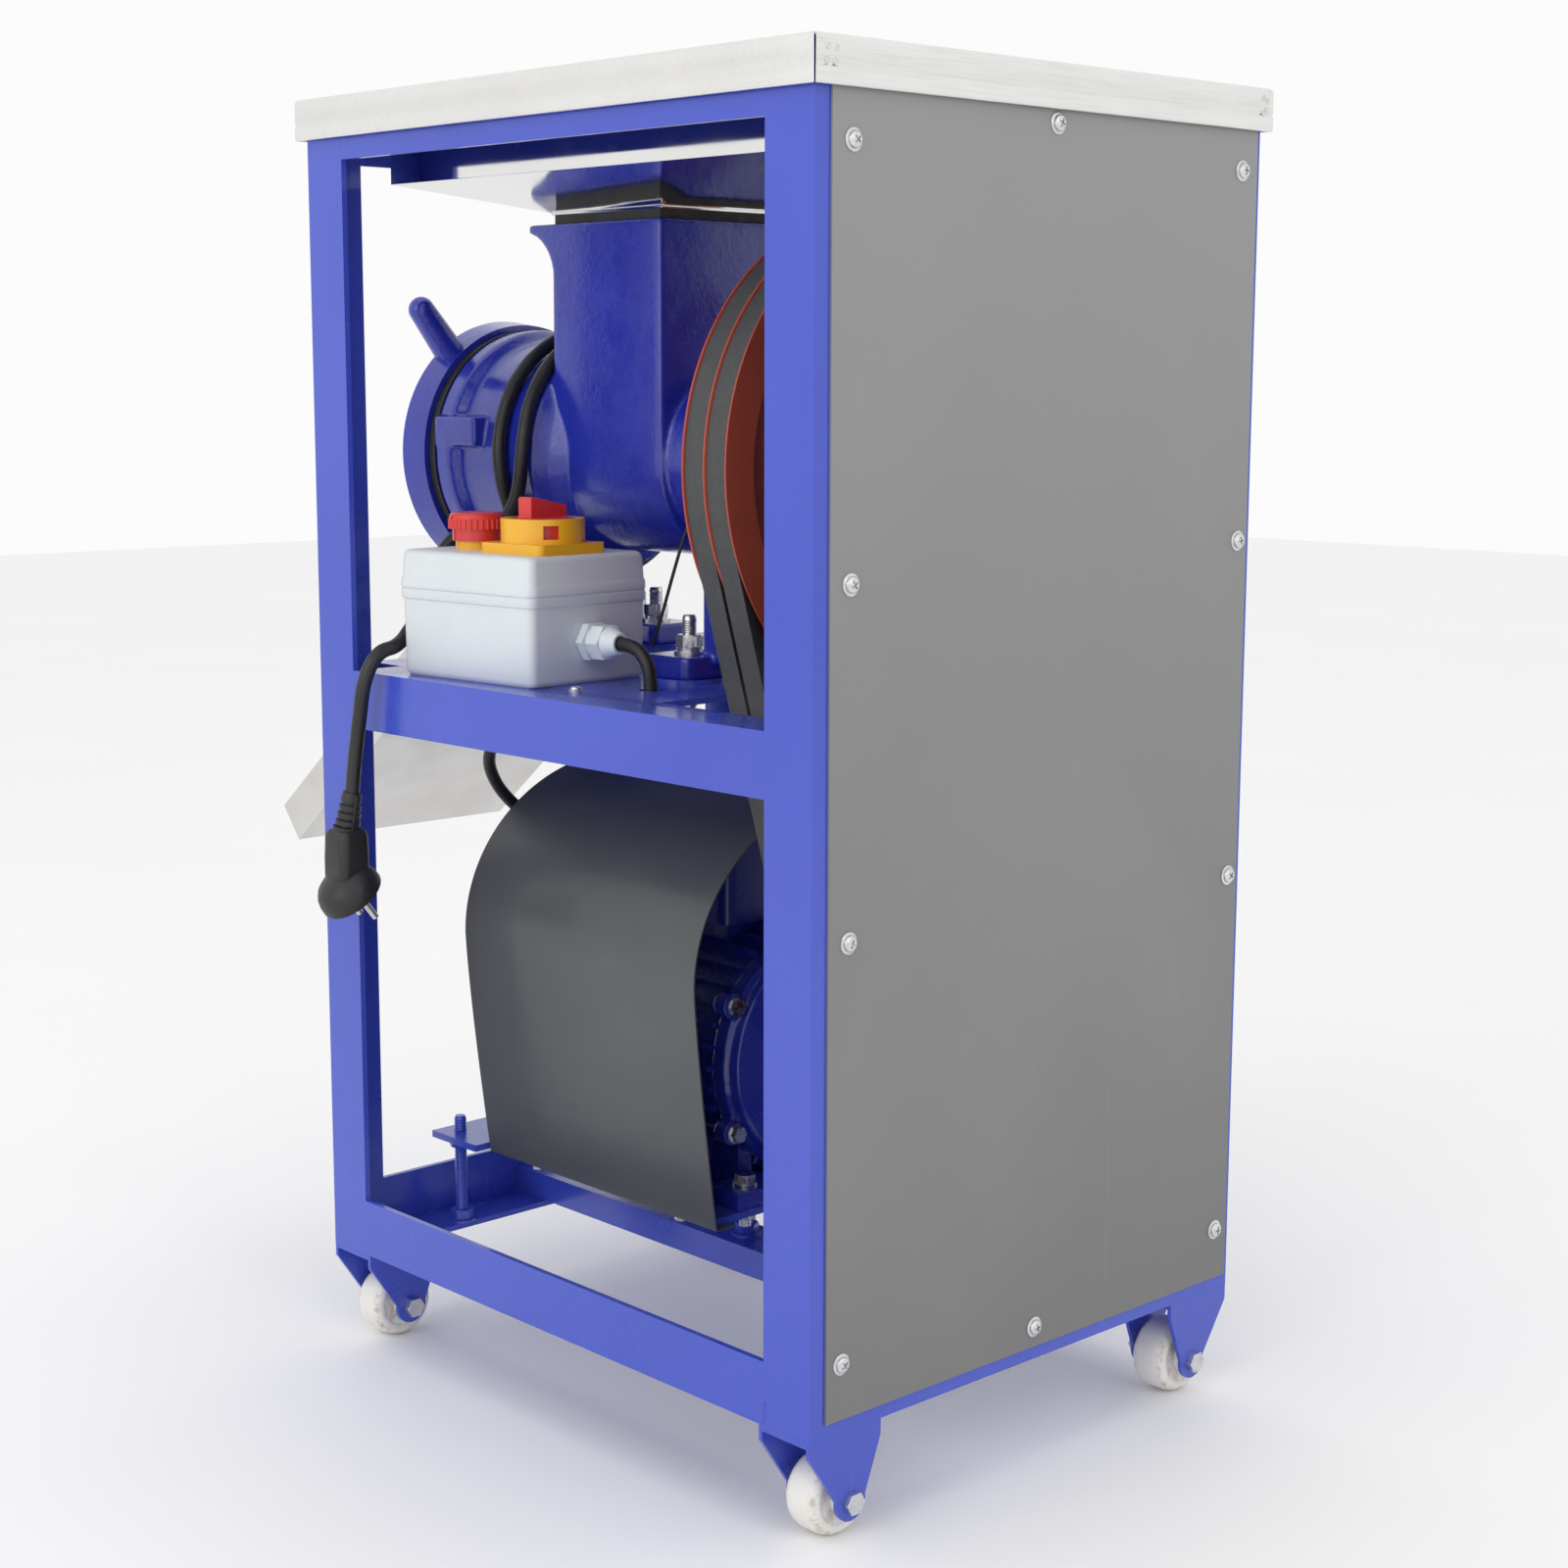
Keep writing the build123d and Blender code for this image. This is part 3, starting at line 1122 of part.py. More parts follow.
# stop button: a mushroom head on a stem that slides through its collar
HEAD_R = 18.6                 # red mushroom head, over a rim of small ribs
HEAD_H = 11.0
HEAD_RIBS = 30
with BuildPart() as stop_collar:
    with BuildSketch(LID_TOP):
        with Locations(STOP_AT):
            Circle(14.5)
    extrude(amount=9)
    with BuildSketch(LID_TOP):
        with Locations(STOP_AT):
            Circle(STEM_R + 4)
    extrude(amount=-12)
    with BuildSketch(LID_TOP.offset(10)):
        with Locations(STOP_AT):
            Circle(STEM_R + RUN)
    extrude(amount=-30, mode=Mode.SUBTRACT)
save(stop_collar, "stop_collar")

with BuildPart() as stop_button:
    with BuildSketch(LID_TOP.offset(14)):
        with Locations(STOP_AT):
            Circle(HEAD_R)
    extrude(amount=HEAD_H)
    fillet(stop_button.faces().sort_by(Axis.Z)[-1].edges(), radius=3.5)
    with BuildSketch(LID_TOP.offset(14)):
        with Locations(STOP_AT):
            Circle(HEAD_R - 1)
            with PolarLocations(HEAD_R - 0.3, HEAD_RIBS):
                Circle(1.2)
    extrude(amount=HEAD_H - 4.5)
    with BuildSketch(LID_TOP.offset(6)):
        with Locations(STOP_AT):
            Circle(16.5)
            Circle(14.85, mode=Mode.SUBTRACT)
    extrude(amount=8.5)
    with BuildSketch(LID_TOP.offset(14.5)):
        with Locations(STOP_AT):
            Circle(STEM_R)
    extrude(amount=-24)
save(stop_button, "stop_button")

# isolator: a red handle that turns in a yellow collar
with BuildPart() as isolator_collar:
    with BuildSketch(LID_TOP):
        with Locations(ISOLATOR_AT):
            RectangleRounded(60, 60, 5)
    extrude(amount=7)
    with BuildSketch(LID_TOP.offset(7)):
        with Locations(ISOLATOR_AT):
            Circle(28.0)
            Circle(22.0, mode=Mode.SUBTRACT)
    extrude(amount=16)
    with BuildSketch(LID_TOP.offset(10)):
        with Locations((ISOLATOR_AT[0] + 14, ISOLATOR_AT[1] + 24)):
            Rectangle(11, 16, rotation=-30)
    extrude(amount=9, mode=Mode.SUBTRACT)
    with BuildSketch(LID_TOP):
        with Locations(ISOLATOR_AT):
            Circle(STEM_R + 4)
    extrude(amount=-12)
    with BuildSketch(LID_TOP.offset(8)):
        with Locations(ISOLATOR_AT):
            Circle(STEM_R + RUN)
    extrude(amount=-30, mode=Mode.SUBTRACT)
save(isolator_collar, "isolator_collar")

HANDLE_TURN = BOX_YAW + 180.0
handle_plane = LID_TOP.offset(23.3)
handle_centre = handle_plane.from_local_coords((ISOLATOR_AT[0], ISOLATOR_AT[1], 0))
handle_dir = Vector(math.cos(math.radians(HANDLE_TURN)), math.sin(math.radians(HANDLE_TURN)), 0)
with BuildPart() as isolator_knob:
    with BuildSketch(LID_TOP.offset(7.3)):
        with Locations(ISOLATOR_AT):
            Circle(21.7)
    extrude(amount=16)
    with BuildSketch(Plane(origin=handle_centre, x_dir=handle_dir, z_dir=handle_dir.cross(Vector(0, 0, 1)))):
        with BuildLine():
            Polyline((-16, 0), (16, 0), (16, 8), (13, 8.5), (-14, 14), (-16, 13), close=True)
        make_face()
    extrude(amount=6.5, both=True)
    with BuildSketch(LID_TOP.offset(8)):
        with Locations(ISOLATOR_AT):
            Circle(STEM_R)
    extrude(amount=-19)
save(isolator_knob, "isolator_knob")

with BuildPart() as contact_blocks:
    with BuildSketch(LID_TOP.offset(-15)):
        with Locations(STOP_AT):
            RectangleRounded(30, 34, 2)
        with Locations(ISOLATOR_AT):
            RectangleRounded(46, 46, 2)
    extrude(amount=-34)
    with BuildSketch(LID_TOP.offset(-12)):
        with Locations(STOP_AT, ISOLATOR_AT):
            Circle(13)
            Circle(STEM_R + 0.8, mode=Mode.SUBTRACT)
    extrude(amount=-3)
save(contact_blocks, "contact_blocks")


# ---------------------------------------------------------------- leads
def box_point(x, y, z):
    """World position of a point given in the switch box's own directions."""
    return tuple(BOX.from_local_coords((x, y, z)))


GLAND_TIP = BOX_Y / 2 - GLAND_SINK + GLAND_LEN - 2
MOTOR_LEAD = [
    box_point(0, GLAND_TIP, GLAND_Z),
    box_point(0, GLAND_TIP + 14, GLAND_Z),
    (121.6, 12.5, FRAME_Z + 439),
    (LEAD_HOLE[0], LEAD_HOLE[1], FRAME_Z + 425),
    (LEAD_HOLE[0], LEAD_HOLE[1] - 0.4, FRAME_Z + 405),
    (120.0, 2.0, FRAME_Z + 389),
    (117.5, -24.0, FRAME_Z + 384),
    (113.5, -72.0, FRAME_Z + 386),
    (109.0, -122.0, FRAME_Z + 385),
    (106.0, -164.0, FRAME_Z + 375),
    (101.0, -189.0, FRAME_Z + 353),
    (90.0, -196.0, FRAME_Z + 333),
    (77.0, -195.0, FRAME_Z + 317),
    (58.0, -190.0, FRAME_Z + 300),
    (38.0, -176.0, FRAME_Z + 285),
    (25.0, -155.0, FRAME_Z + 277),
    (22.2, -131.0, TERMINAL_Z + 30),
    (22.0, TERMINAL_Y - 55, TERMINAL_Z + 30),
]
motor_lead = tube(MOTOR_LEAD, MOTOR_LEAD_R, name="motor_lead")
save(motor_lead, "motor_lead")

MAINS_FEED = [
    box_point(0, -GLAND_TIP, GLAND_Z),
    box_point(0, -GLAND_TIP - 12, GLAND_Z),
    (133.0, -223.0, FRAME_Z + 462),
    (123.0, -222.0, FRAME_Z + 485),
    (110.0, -213.0, FRAME_Z + 508),
    (91.0, -204.0, FRAME_Z + 519),
    (69.0, -199.0, FRAME_Z + 505),
    (43.5, -195.5, FRAME_Z + 489.7),
]
mains_lead_feed = tube(MAINS_FEED, LEAD_R, name="mains_lead_feed")
save(mains_lead_feed, "mains_lead_feed")

coil_blank = ring(-199.5, -158.5, COIL_R + 5.5, BARREL_R + 0.3, AXIS_Z)
with BuildPart() as mains_lead_coil:
    add(coil_blank)
save(mains_lead_coil, "mains_lead_coil")

MAINS_TAIL = [
    (87.0, -160.0, FRAME_Z + 560),
    (87.6, -165.0, FRAME_Z + 538),
    (91.0, -178.0, FRAME_Z + 519),
    (100.0, -188.0, FRAME_Z + 502),
    (117.0, -192.0, FRAME_Z + 486),
    (141.0, -191.0, FRAME_Z + 471),
    (163.0, -186.0, FRAME_Z + 453),
    (183.0, -177.0, FRAME_Z + 438),
    (204.5, -171.0, FRAME_Z + 436.5),
    (213.0, -176.0, FRAME_Z + 418),
    (213.5, -182.0, FRAME_Z + 389),
    (216.0, -185.0, FRAME_Z + 361),
    (218.0, -186.0, FRAME_Z + 339),
]
mains_lead_tail = tube(MAINS_TAIL, LEAD_R, name="mains_lead_tail")
save(mains_lead_tail, "mains_lead_tail")

PLUG_AT = (222.0, -189.0, FRAME_Z + 273)
PIN_TILT = 52.0
pin_dir = Vector(-math.cos(math.radians(PIN_TILT)), 0, -math.sin(math.radians(PIN_TILT)))
RELIEF_LEN = 28.0
relief_top = Vector(*MAINS_TAIL[-1])
relief_dir = (relief_top - Vector(*MAINS_TAIL[-2])).normalized()
relief_low = relief_top + relief_dir * RELIEF_LEN
with BuildPart() as plug_body:
    with BuildSketch(Plane(origin=relief_top, z_dir=relief_dir)):
        Circle(LEAD_R + 1.2)
    with BuildSketch(Plane(origin=relief_low, z_dir=relief_dir)):
        Circle(9.0)
    loft()
    with BuildSketch(up(221.5, -189.5, FRAME_Z + 281)):
        RectangleRounded(24, 26, 7)
    extrude(amount=32)
    with BuildSketch(Plane(origin=PLUG_AT, x_dir=(0, 1, 0), z_dir=pin_dir)):
        Circle(23)
    extrude(amount=8, both=True)
save(plug_body, "plug_body")

with BuildPart() as plug_pins:
    with BuildSketch(Plane(origin=Vector(*PLUG_AT) + pin_dir * 8, x_dir=(0, 1, 0), z_dir=pin_dir)):
        with Locations((9.5, 0), (-9.5, 0)):
            Circle(2.4)
    extrude(amount=19)
save(plug_pins, "plug_pins")
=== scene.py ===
import bpy
import bmesh
import json
import math
from mathutils import Matrix, Vector


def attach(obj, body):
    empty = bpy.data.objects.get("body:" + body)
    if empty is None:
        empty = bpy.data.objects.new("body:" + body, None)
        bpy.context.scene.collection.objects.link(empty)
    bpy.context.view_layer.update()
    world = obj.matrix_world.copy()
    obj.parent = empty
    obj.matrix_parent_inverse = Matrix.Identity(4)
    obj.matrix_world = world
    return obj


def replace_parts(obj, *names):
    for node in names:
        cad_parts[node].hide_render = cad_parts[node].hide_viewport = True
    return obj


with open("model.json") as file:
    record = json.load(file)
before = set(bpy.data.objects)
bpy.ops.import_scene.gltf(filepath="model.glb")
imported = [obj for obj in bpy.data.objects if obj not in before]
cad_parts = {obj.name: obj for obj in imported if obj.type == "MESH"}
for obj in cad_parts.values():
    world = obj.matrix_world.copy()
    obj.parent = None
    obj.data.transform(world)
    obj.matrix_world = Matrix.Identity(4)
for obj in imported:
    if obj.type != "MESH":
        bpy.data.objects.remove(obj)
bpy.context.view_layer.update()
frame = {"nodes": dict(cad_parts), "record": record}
nodes = frame["nodes"]
scene = bpy.context.scene
body_of = {n: b for b, names in frame["record"]["behaviour"]["bodies"].items() for n in names}
slot_of = {s["node"]: s["material_slot"] for s in frame["record"]["subparts"]}

# the stand: height of its underside, half its width and depth, and its top
FRAME_Z = 0.071
HALF_X = 0.200
HALF_Y = 0.248
TOP_Z = FRAME_Z + 0.805
SHELF_Z = FRAME_Z + 0.420

# ------------------------------------------------------------------ camera
AZIMUTH = math.radians(136.6208)
ELEVATION = math.radians(8.9982)
ROLL = math.radians(0.1421)
CAMERA_AT = (1.200754, 1.283864, 0.693)
FOCAL_LENGTH = 59.319
SENSOR_WIDTH = 36.0
level = math.cos(ELEVATION)
back = Vector((math.sin(AZIMUTH) * level, -math.cos(AZIMUTH) * level, math.sin(ELEVATION)))
right = (-back).cross(Vector((0, 0, 1))).normalized()
up = right.cross(-back)
side = right * math.cos(ROLL) + up * math.sin(ROLL)
top = up * math.cos(ROLL) - right * math.sin(ROLL)
cam = bpy.data.objects.new("camera", bpy.data.cameras.new("camera"))
cam.data.lens = FOCAL_LENGTH
cam.data.sensor_width = SENSOR_WIDTH
cam.data.clip_end = 50
turn = Matrix((side, top, back)).transposed().to_4x4()
cam.matrix_world = Matrix.Translation(CAMERA_AT) @ turn
scene.collection.objects.link(cam)
scene.camera = cam


# ------------------------------------------------------------------ materials
class Surface:
    """A Principled material with a few procedural layers in object coordinates."""

    def __init__(self, name, color, rough=0.5, metal=0.0, coat=0.0):
        self.mat = bpy.data.materials.new(name)
        self.mat.use_nodes = True
        self.tree = self.mat.node_tree
        self.shader = self.tree.nodes["Principled BSDF"]
        self.shader.inputs["Base Color"].default_value = (*color, 1)
        self.shader.inputs["Roughness"].default_value = rough
        self.shader.inputs["Metallic"].default_value = metal
        self.shader.inputs["Coat Weight"].default_value = coat
        self.shader.inputs["Coat Roughness"].default_value = 0.12
        self.color = None
        self.normal = None
        self.base = (*color, 1)
        self.rough = rough
        self.place = self.add("ShaderNodeTexCoord").outputs["Object"]

    def add(self, kind, **values):
        node = self.tree.nodes.new(kind)
        for key, value in values.items():
            setattr(node, key, value)
        return node

    def link(self, a, b):
        self.tree.links.new(a, b)

    def noise(self, scale, detail=4.0, rough=0.55, stretch=(1, 1, 1), warp=0.0):
        """Fractal noise; a small stretch along an axis draws it out into a grain."""
        move = self.add("ShaderNodeMapping")
        move.inputs["Scale"].default_value = stretch
        self.link(self.place, move.inputs["Vector"])
        tex = self.add("ShaderNodeTexNoise")
        tex.inputs["Scale"].default_value = scale
        tex.inputs["Detail"].default_value = detail
        tex.inputs["Roughness"].default_value = rough
        tex.inputs["Distortion"].default_value = warp
        self.link(move.outputs["Vector"], tex.inputs["Vector"])
        return tex.outputs["Fac"]

    def cells(self, scale):
        """Distance to the nearest of scattered points, for a woven look."""
        tex = self.add("ShaderNodeTexVoronoi")
        tex.inputs["Scale"].default_value = scale
        self.link(self.place, tex.inputs["Vector"])
        return tex.outputs["Distance"]

    def span(self, value, low, high, to_low=0.0, to_high=1.0):
        """A value's stretch from low to high, laid over another stretch and clamped."""
        node = self.add("ShaderNodeMapRange", clamp=True)
        node.inputs["From Min"].default_value = low
        node.inputs["From Max"].default_value = high
        node.inputs["To Min"].default_value = to_low
        node.inputs["To Max"].default_value = to_high
        self.link(value, node.inputs["Value"])
        return node.outputs["Result"]

    def math(self, kind, a, b=0.0):
        node = self.add("ShaderNodeMath", operation=kind)
        for socket, value in zip(node.inputs, (a, b)):
            if isinstance(value, (int, float)):
                socket.default_value = value
            else:
                self.link(value, socket)
        return node.outputs[0]

    def axis(self, letter):
        node = self.add("ShaderNodeSeparateXYZ")
        self.link(self.place, node.inputs[0])
        return node.outputs[letter]

    def tint(self, mask, color):
        """Mixes another colour in where the mask is high."""
        mix = self.add("ShaderNodeMix", data_type="RGBA")
        if self.color is None:
            mix.inputs[6].default_value = self.base
        else:
            self.link(self.color, mix.inputs[6])
        mix.inputs[7].default_value = (*color, 1)
        self.link(mask, mix.inputs[0])
        self.color = mix.outputs[2]
        self.link(self.color, self.shader.inputs["Base Color"])
        return self

    def gloss(self, value, low, high):
        """Roughness that follows a 0 to 1 value."""
        self.link(self.span(value, 0.3, 0.7, low, high), self.shader.inputs["Roughness"])
        return self

    def bump(self, height, distance, strength=1.0):
        """Relief in metres, added over the bump that is already there."""
        node = self.add("ShaderNodeBump")
        node.inputs["Distance"].default_value = distance
        node.inputs["Strength"].default_value = strength
        self.link(height, node.inputs["Height"])
        if self.normal is not None:
            self.link(self.normal, node.inputs["Normal"])
        self.normal = node.outputs["Normal"]
        self.link(self.normal, self.shader.inputs["Normal"])
        return self


def frame_paint():
    s = Surface("blue_frame_paint", (0.040, 0.070, 0.480), 0.3, coat=0.3)
    s.tint(s.span(s.noise(5, 2), 0.3, 0.75), (0.050, 0.086, 0.540))
    s.tint(s.span(s.noise(300, 2, stretch=(1, 1, 0.02)), 0.74, 0.77, 0, 0.5), (0.16, 0.24, 0.72))
    s.tint(s.span(s.noise(900, 2), 0.72, 0.8, 0, 0.3), (0.16, 0.20, 0.58))
    s.gloss(s.noise(30, 3), 0.20, 0.30)
    s.bump(s.noise(240, 2), 0.0002, 0.5)
    s.bump(s.noise(16, 2), 0.0006, 0.15)
    return s.mat


def casting_paint():
    s = Surface("blue_casting_paint", (0.014, 0.024, 0.340), 0.2, coat=0.5)
    s.tint(s.span(s.noise(12, 4), 0.35, 0.7), (0.022, 0.038, 0.420))
    s.tint(s.span(s.noise(70, 5), 0.58, 0.78, 0, 0.5), (0.008, 0.012, 0.22))
    s.gloss(s.noise(40, 4), 0.16, 0.36)
    s.bump(s.noise(46, 5, 0.6), 0.0022, 0.35)
    s.bump(s.noise(240, 3, 0.6), 0.0006, 0.45)
    s.bump(s.noise(620, 3), 0.0003, 0.30)
    return s.mat


def motor_paint():
    s = Surface("blue_motor_paint", (0.016, 0.024, 0.300), 0.3, coat=0.4)
    s.tint(s.span(s.noise(18, 4), 0.4, 0.7), (0.026, 0.038, 0.400))
    s.gloss(s.noise(30, 3), 0.22, 0.4)
    s.bump(s.noise(180, 4), 0.0005, 0.35)
    return s.mat


def stainless(name="stainless_sheet", along=(0.03, 1, 1), shade=(0.74, 0.74, 0.72)):
    s = Surface(name, shade, 0.3, metal=1.0)
    s.tint(s.span(s.noise(6, 3, warp=1.5), 0.35, 0.75, 0, 0.5), (0.86, 0.86, 0.85))
    s.tint(s.span(s.noise(900, 2, stretch=along), 0.5, 0.8, 0, 0.35), (0.55, 0.55, 0.53))
    s.tint(s.span(s.noise(22, 4, warp=0.8), 0.62, 0.8, 0, 0.3), (0.45, 0.45, 0.44))
    s.gloss(s.noise(14, 5, warp=1.0), 0.26, 0.46)
    s.bump(s.noise(900, 2, stretch=along), 0.00015, 0.3)
    s.bump(s.noise(9, 2), 0.0012, 0.25)
    return s.mat


def polished():
    s = Surface("polished_stainless", (0.80, 0.80, 0.79), 0.06, metal=1.0)
    s.tint(s.span(s.noise(9, 3, warp=0.6), 0.5, 0.8, 0, 0.3), (0.66, 0.66, 0.65))
    s.tint(s.span(s.noise(500, 2, stretch=(1, 0.02, 1)), 0.6, 0.8, 0, 0.25), (0.60, 0.60, 0.59))
    s.gloss(s.noise(12, 4), 0.04, 0.10)
    s.bump(s.noise(6, 2), 0.001, 0.12)
    return s.mat


def grey_panel():
    s = Surface("grey_panel_paint", (0.270, 0.270, 0.276), 0.40, coat=0.05)
    # painted shade: the panel's colour darkens towards the bottom, standing in for light falling off lower
    # down
    s.tint(s.span(s.axis("Z"), 0.1, 0.86, 0.85, 0.0), (0.150, 0.150, 0.151))
    s.tint(s.span(s.noise(3.2, 4, stretch=(1, 1, 0.6), warp=0.6), 0.5, 0.8, 0, 0.22), (0.30, 0.30, 0.30))
    s.tint(s.span(s.noise(16, 5, stretch=(1, 1, 0.5)), 0.62, 0.85, 0, 0.16), (0.34, 0.34, 0.34))
    s.tint(s.span(s.noise(230, 2, stretch=(1, 1, 0.04)), 0.72, 0.78, 0, 0.18), (0.30, 0.30, 0.30))
    s.gloss(s.noise(11, 5), 0.36, 0.52)
    s.bump(s.noise(5, 1), 0.0015, 0.25)
    s.bump(s.noise(650, 2), 0.00012, 0.4)
    return s.mat


def grey_cover():
    s = Surface("grey_cover_paint", (0.070, 0.074, 0.079), 0.36, coat=0.12)
    s.tint(s.span(s.noise(10, 3), 0.4, 0.75, 0, 0.4), (0.095, 0.098, 0.102))
    s.tint(s.span(s.noise(60, 4, stretch=(1, 0.3, 1)), 0.62, 0.85, 0, 0.2), (0.15, 0.15, 0.155))
    s.gloss(s.noise(16, 4), 0.30, 0.42)
    s.bump(s.noise(560, 2), 0.00012, 0.5)
    s.bump(s.noise(7, 1), 0.001, 0.2)
    return s.mat


def zinc(name="zinc_plate", shade=(0.70, 0.71, 0.72)):
    s = Surface(name, shade, 0.3, metal=1.0)
    s.tint(s.span(s.noise(160, 3), 0.45, 0.75, 0, 0.5), (0.42, 0.42, 0.40))
    s.tint(s.span(s.noise(60, 3), 0.6, 0.8, 0, 0.3), (0.80, 0.74, 0.58))
    s.gloss(s.noise(220, 3), 0.2, 0.42)
    s.bump(s.noise(700, 2), 0.0001, 0.4)
    return s.mat


def turned_steel(name="turned_steel", shade=(0.52, 0.52, 0.51)):
    s = Surface(name, shade, 0.28, metal=1.0)
    s.tint(s.span(s.noise(500, 2, stretch=(0.1, 1, 0.1)), 0.45, 0.75, 0, 0.5), (0.36, 0.36, 0.35))
    s.tint(s.span(s.noise(30, 4), 0.62, 0.8, 0, 0.3), (0.30, 0.24, 0.18))
    s.gloss(s.noise(80, 3), 0.2, 0.4)
    s.bump(s.noise(600, 2, stretch=(0.1, 1, 0.1)), 0.0001, 0.4)
    return s.mat


def red_paint():
    s = Surface("red_oxide_paint", (0.400, 0.060, 0.030), 0.42, coat=0.1)
    s.tint(s.span(s.noise(20, 4), 0.4, 0.75, 0, 0.6), (0.290, 0.040, 0.022))
    s.tint(s.span(s.noise(120, 4), 0.64, 0.8, 0, 0.5), (0.10, 0.05, 0.04))
    s.gloss(s.noise(50, 4), 0.34, 0.55)
    s.bump(s.noise(90, 4), 0.0006, 0.4)
    s.bump(s.noise(500, 2), 0.0002, 0.4)
    return s.mat


def rubber(name, shade, rough=0.55, grain=420, depth=0.0003):
    s = Surface(name, shade, rough)
    s.tint(s.span(s.noise(30, 4), 0.45, 0.75, 0, 0.5), tuple(min(1, c * 1.7 + 0.004) for c in shade))
    s.tint(s.span(s.noise(260, 3), 0.66, 0.8, 0, 0.3), tuple(c + 0.05 for c in shade))
    s.gloss(s.noise(90, 3), rough - 0.1, rough + 0.12)
    s.bump(s.noise(grain, 3), depth, 0.5)
    return s.mat


def plastic(name, shade, rough=0.4, coat=0.0, dirt=(0.3, 0.28, 0.24), grain=520):
    s = Surface(name, shade, rough, coat=coat)
    s.tint(s.span(s.noise(14, 3), 0.4, 0.75, 0, 0.25), tuple(c * 0.86 for c in shade))
    s.tint(s.span(s.noise(90, 5), 0.66, 0.85, 0, 0.18), dirt)
    s.gloss(s.noise(60, 3), rough - 0.08, rough + 0.08)
    s.bump(s.noise(grain, 3), 0.00018, 0.45)
    return s.mat


WHEEL_Y = 0.2265


def nylon():
    """White nylon: brown mould line and floor dirt near the tread's edges."""
    s = Surface("white_nylon", (0.80, 0.78, 0.74), 0.34)
    s.shader.inputs["Subsurface Weight"].default_value = 0.06
    edge = s.math("ABSOLUTE", s.math("SUBTRACT", s.math("ABSOLUTE", s.axis("Y")), WHEEL_Y))
    rim = s.math("MULTIPLY", s.span(edge, 0.0075, 0.0105), s.span(edge, 0.0136, 0.0118))
    specks = s.span(s.noise(170, 5, 0.7), 0.46, 0.62)
    s.tint(s.span(s.noise(26, 3), 0.4, 0.8, 0, 0.5), (0.70, 0.67, 0.61))
    s.tint(s.math("MULTIPLY", s.math("MULTIPLY", rim, specks), 0.55), (0.36, 0.22, 0.11))
    s.tint(s.span(s.noise(320, 4), 0.66, 0.76, 0, 0.45), (0.40, 0.30, 0.20))
    s.gloss(s.noise(70, 3), 0.26, 0.46)
    s.bump(s.noise(120, 3), 0.0006, 0.3)
    return s.mat


def belt_material():
    s = Surface("belt_fabric", (0.048, 0.050, 0.052), 0.6)
    s.tint(s.span(s.noise(700, 2), 0.4, 0.7, 0, 0.6), (0.075, 0.076, 0.078))
    s.tint(s.span(s.noise(24, 4), 0.5, 0.8, 0, 0.4), (0.028, 0.028, 0.030))
    s.gloss(s.noise(90, 3), 0.5, 0.7)
    s.bump(s.cells(900), 0.0003, 0.5)
    return s.mat


MATERIALS = {
    "blue_paint": frame_paint(),
    "blue_casting": casting_paint(),
    "motor_trim": motor_paint(),
    "stainless": stainless(shade=(0.80, 0.79, 0.77)),
    "grey_panel": grey_panel(),
    "grey_cover": grey_cover(),
    "zinc": zinc(),
    "chute_steel": stainless("chute_steel", (1, 0.03, 1), (0.66, 0.64, 0.61)),
    "tray_steel": polished(),
    "red_paint": red_paint(),
    "belt_rubber": belt_material(),
    "black_rubber": rubber("seal_rubber", (0.014, 0.014, 0.015)),
    "cord_black": rubber("cord_jacket", (0.012, 0.012, 0.013), 0.42, 700, 0.0001),
    "plug_black": plastic("plug_plastic", (0.017, 0.017, 0.018), 0.45, dirt=(0.07, 0.07, 0.07)),
    "plug_metal": zinc("plug_brass_plate", (0.72, 0.70, 0.66)),
    "nylon_white": nylon(),
    "box_plastic": plastic("box_plastic", (0.66, 0.70, 0.72), 0.42, dirt=(0.45, 0.45, 0.42)),
    "gland_plastic": plastic("gland_plastic", (0.78, 0.84, 0.86), 0.38, dirt=(0.5, 0.5, 0.46)),
    "yellow_plastic": plastic("yellow_plastic", (0.86, 0.44, 0.015), 0.36, 0.2, (0.5, 0.3, 0.05)),
    "red_plastic": plastic("red_plastic", (0.66, 0.034, 0.030), 0.34, 0.2, (0.4, 0.08, 0.06)),
    "black_plastic": plastic("black_plastic", (0.02, 0.02, 0.02), 0.45, dirt=(0.08, 0.08, 0.08)),
    "screw_steel": zinc("screw_steel", (0.5, 0.5, 0.5)),
    "machined_steel": turned_steel(),
    "cast_worm": turned_steel("tinned_iron", (0.45, 0.45, 0.44)),
}
for name, obj in nodes.items():
    obj.data.materials.clear()
    obj.data.materials.append(MATERIALS[slot_of[name]])


# ------------------------------------------------------------------ mesh helpers
# outline radius that stands for the axis, where an end is closed by a face
CORE = 0.0004


def link(name, mesh, slot):
    obj = bpy.data.objects.new(name, mesh)
    scene.collection.objects.link(obj)
    mesh.materials.clear()
    mesh.materials.append(MATERIALS[slot])
    return obj


def from_bmesh(name, bm, slot, body="stand", smooth=35):
    mesh = bpy.data.meshes.new(name)
    bmesh.ops.recalc_face_normals(bm, faces=bm.faces)
    bm.to_mesh(mesh)
    bm.free()
    obj = link(name, mesh, slot)
    shade(obj, smooth)
    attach(obj, body)
    return obj


def shade(obj, angle=35):
    obj.data.shade_smooth()
    obj.data.set_sharp_from_angle(angle=math.radians(angle))


def bake(obj):
    """Applies the object's modifiers to its mesh."""
    graph = bpy.context.evaluated_depsgraph_get()
    mesh = bpy.data.meshes.new_from_object(obj.evaluated_get(graph))
    obj.modifiers.clear()
    obj.data = mesh


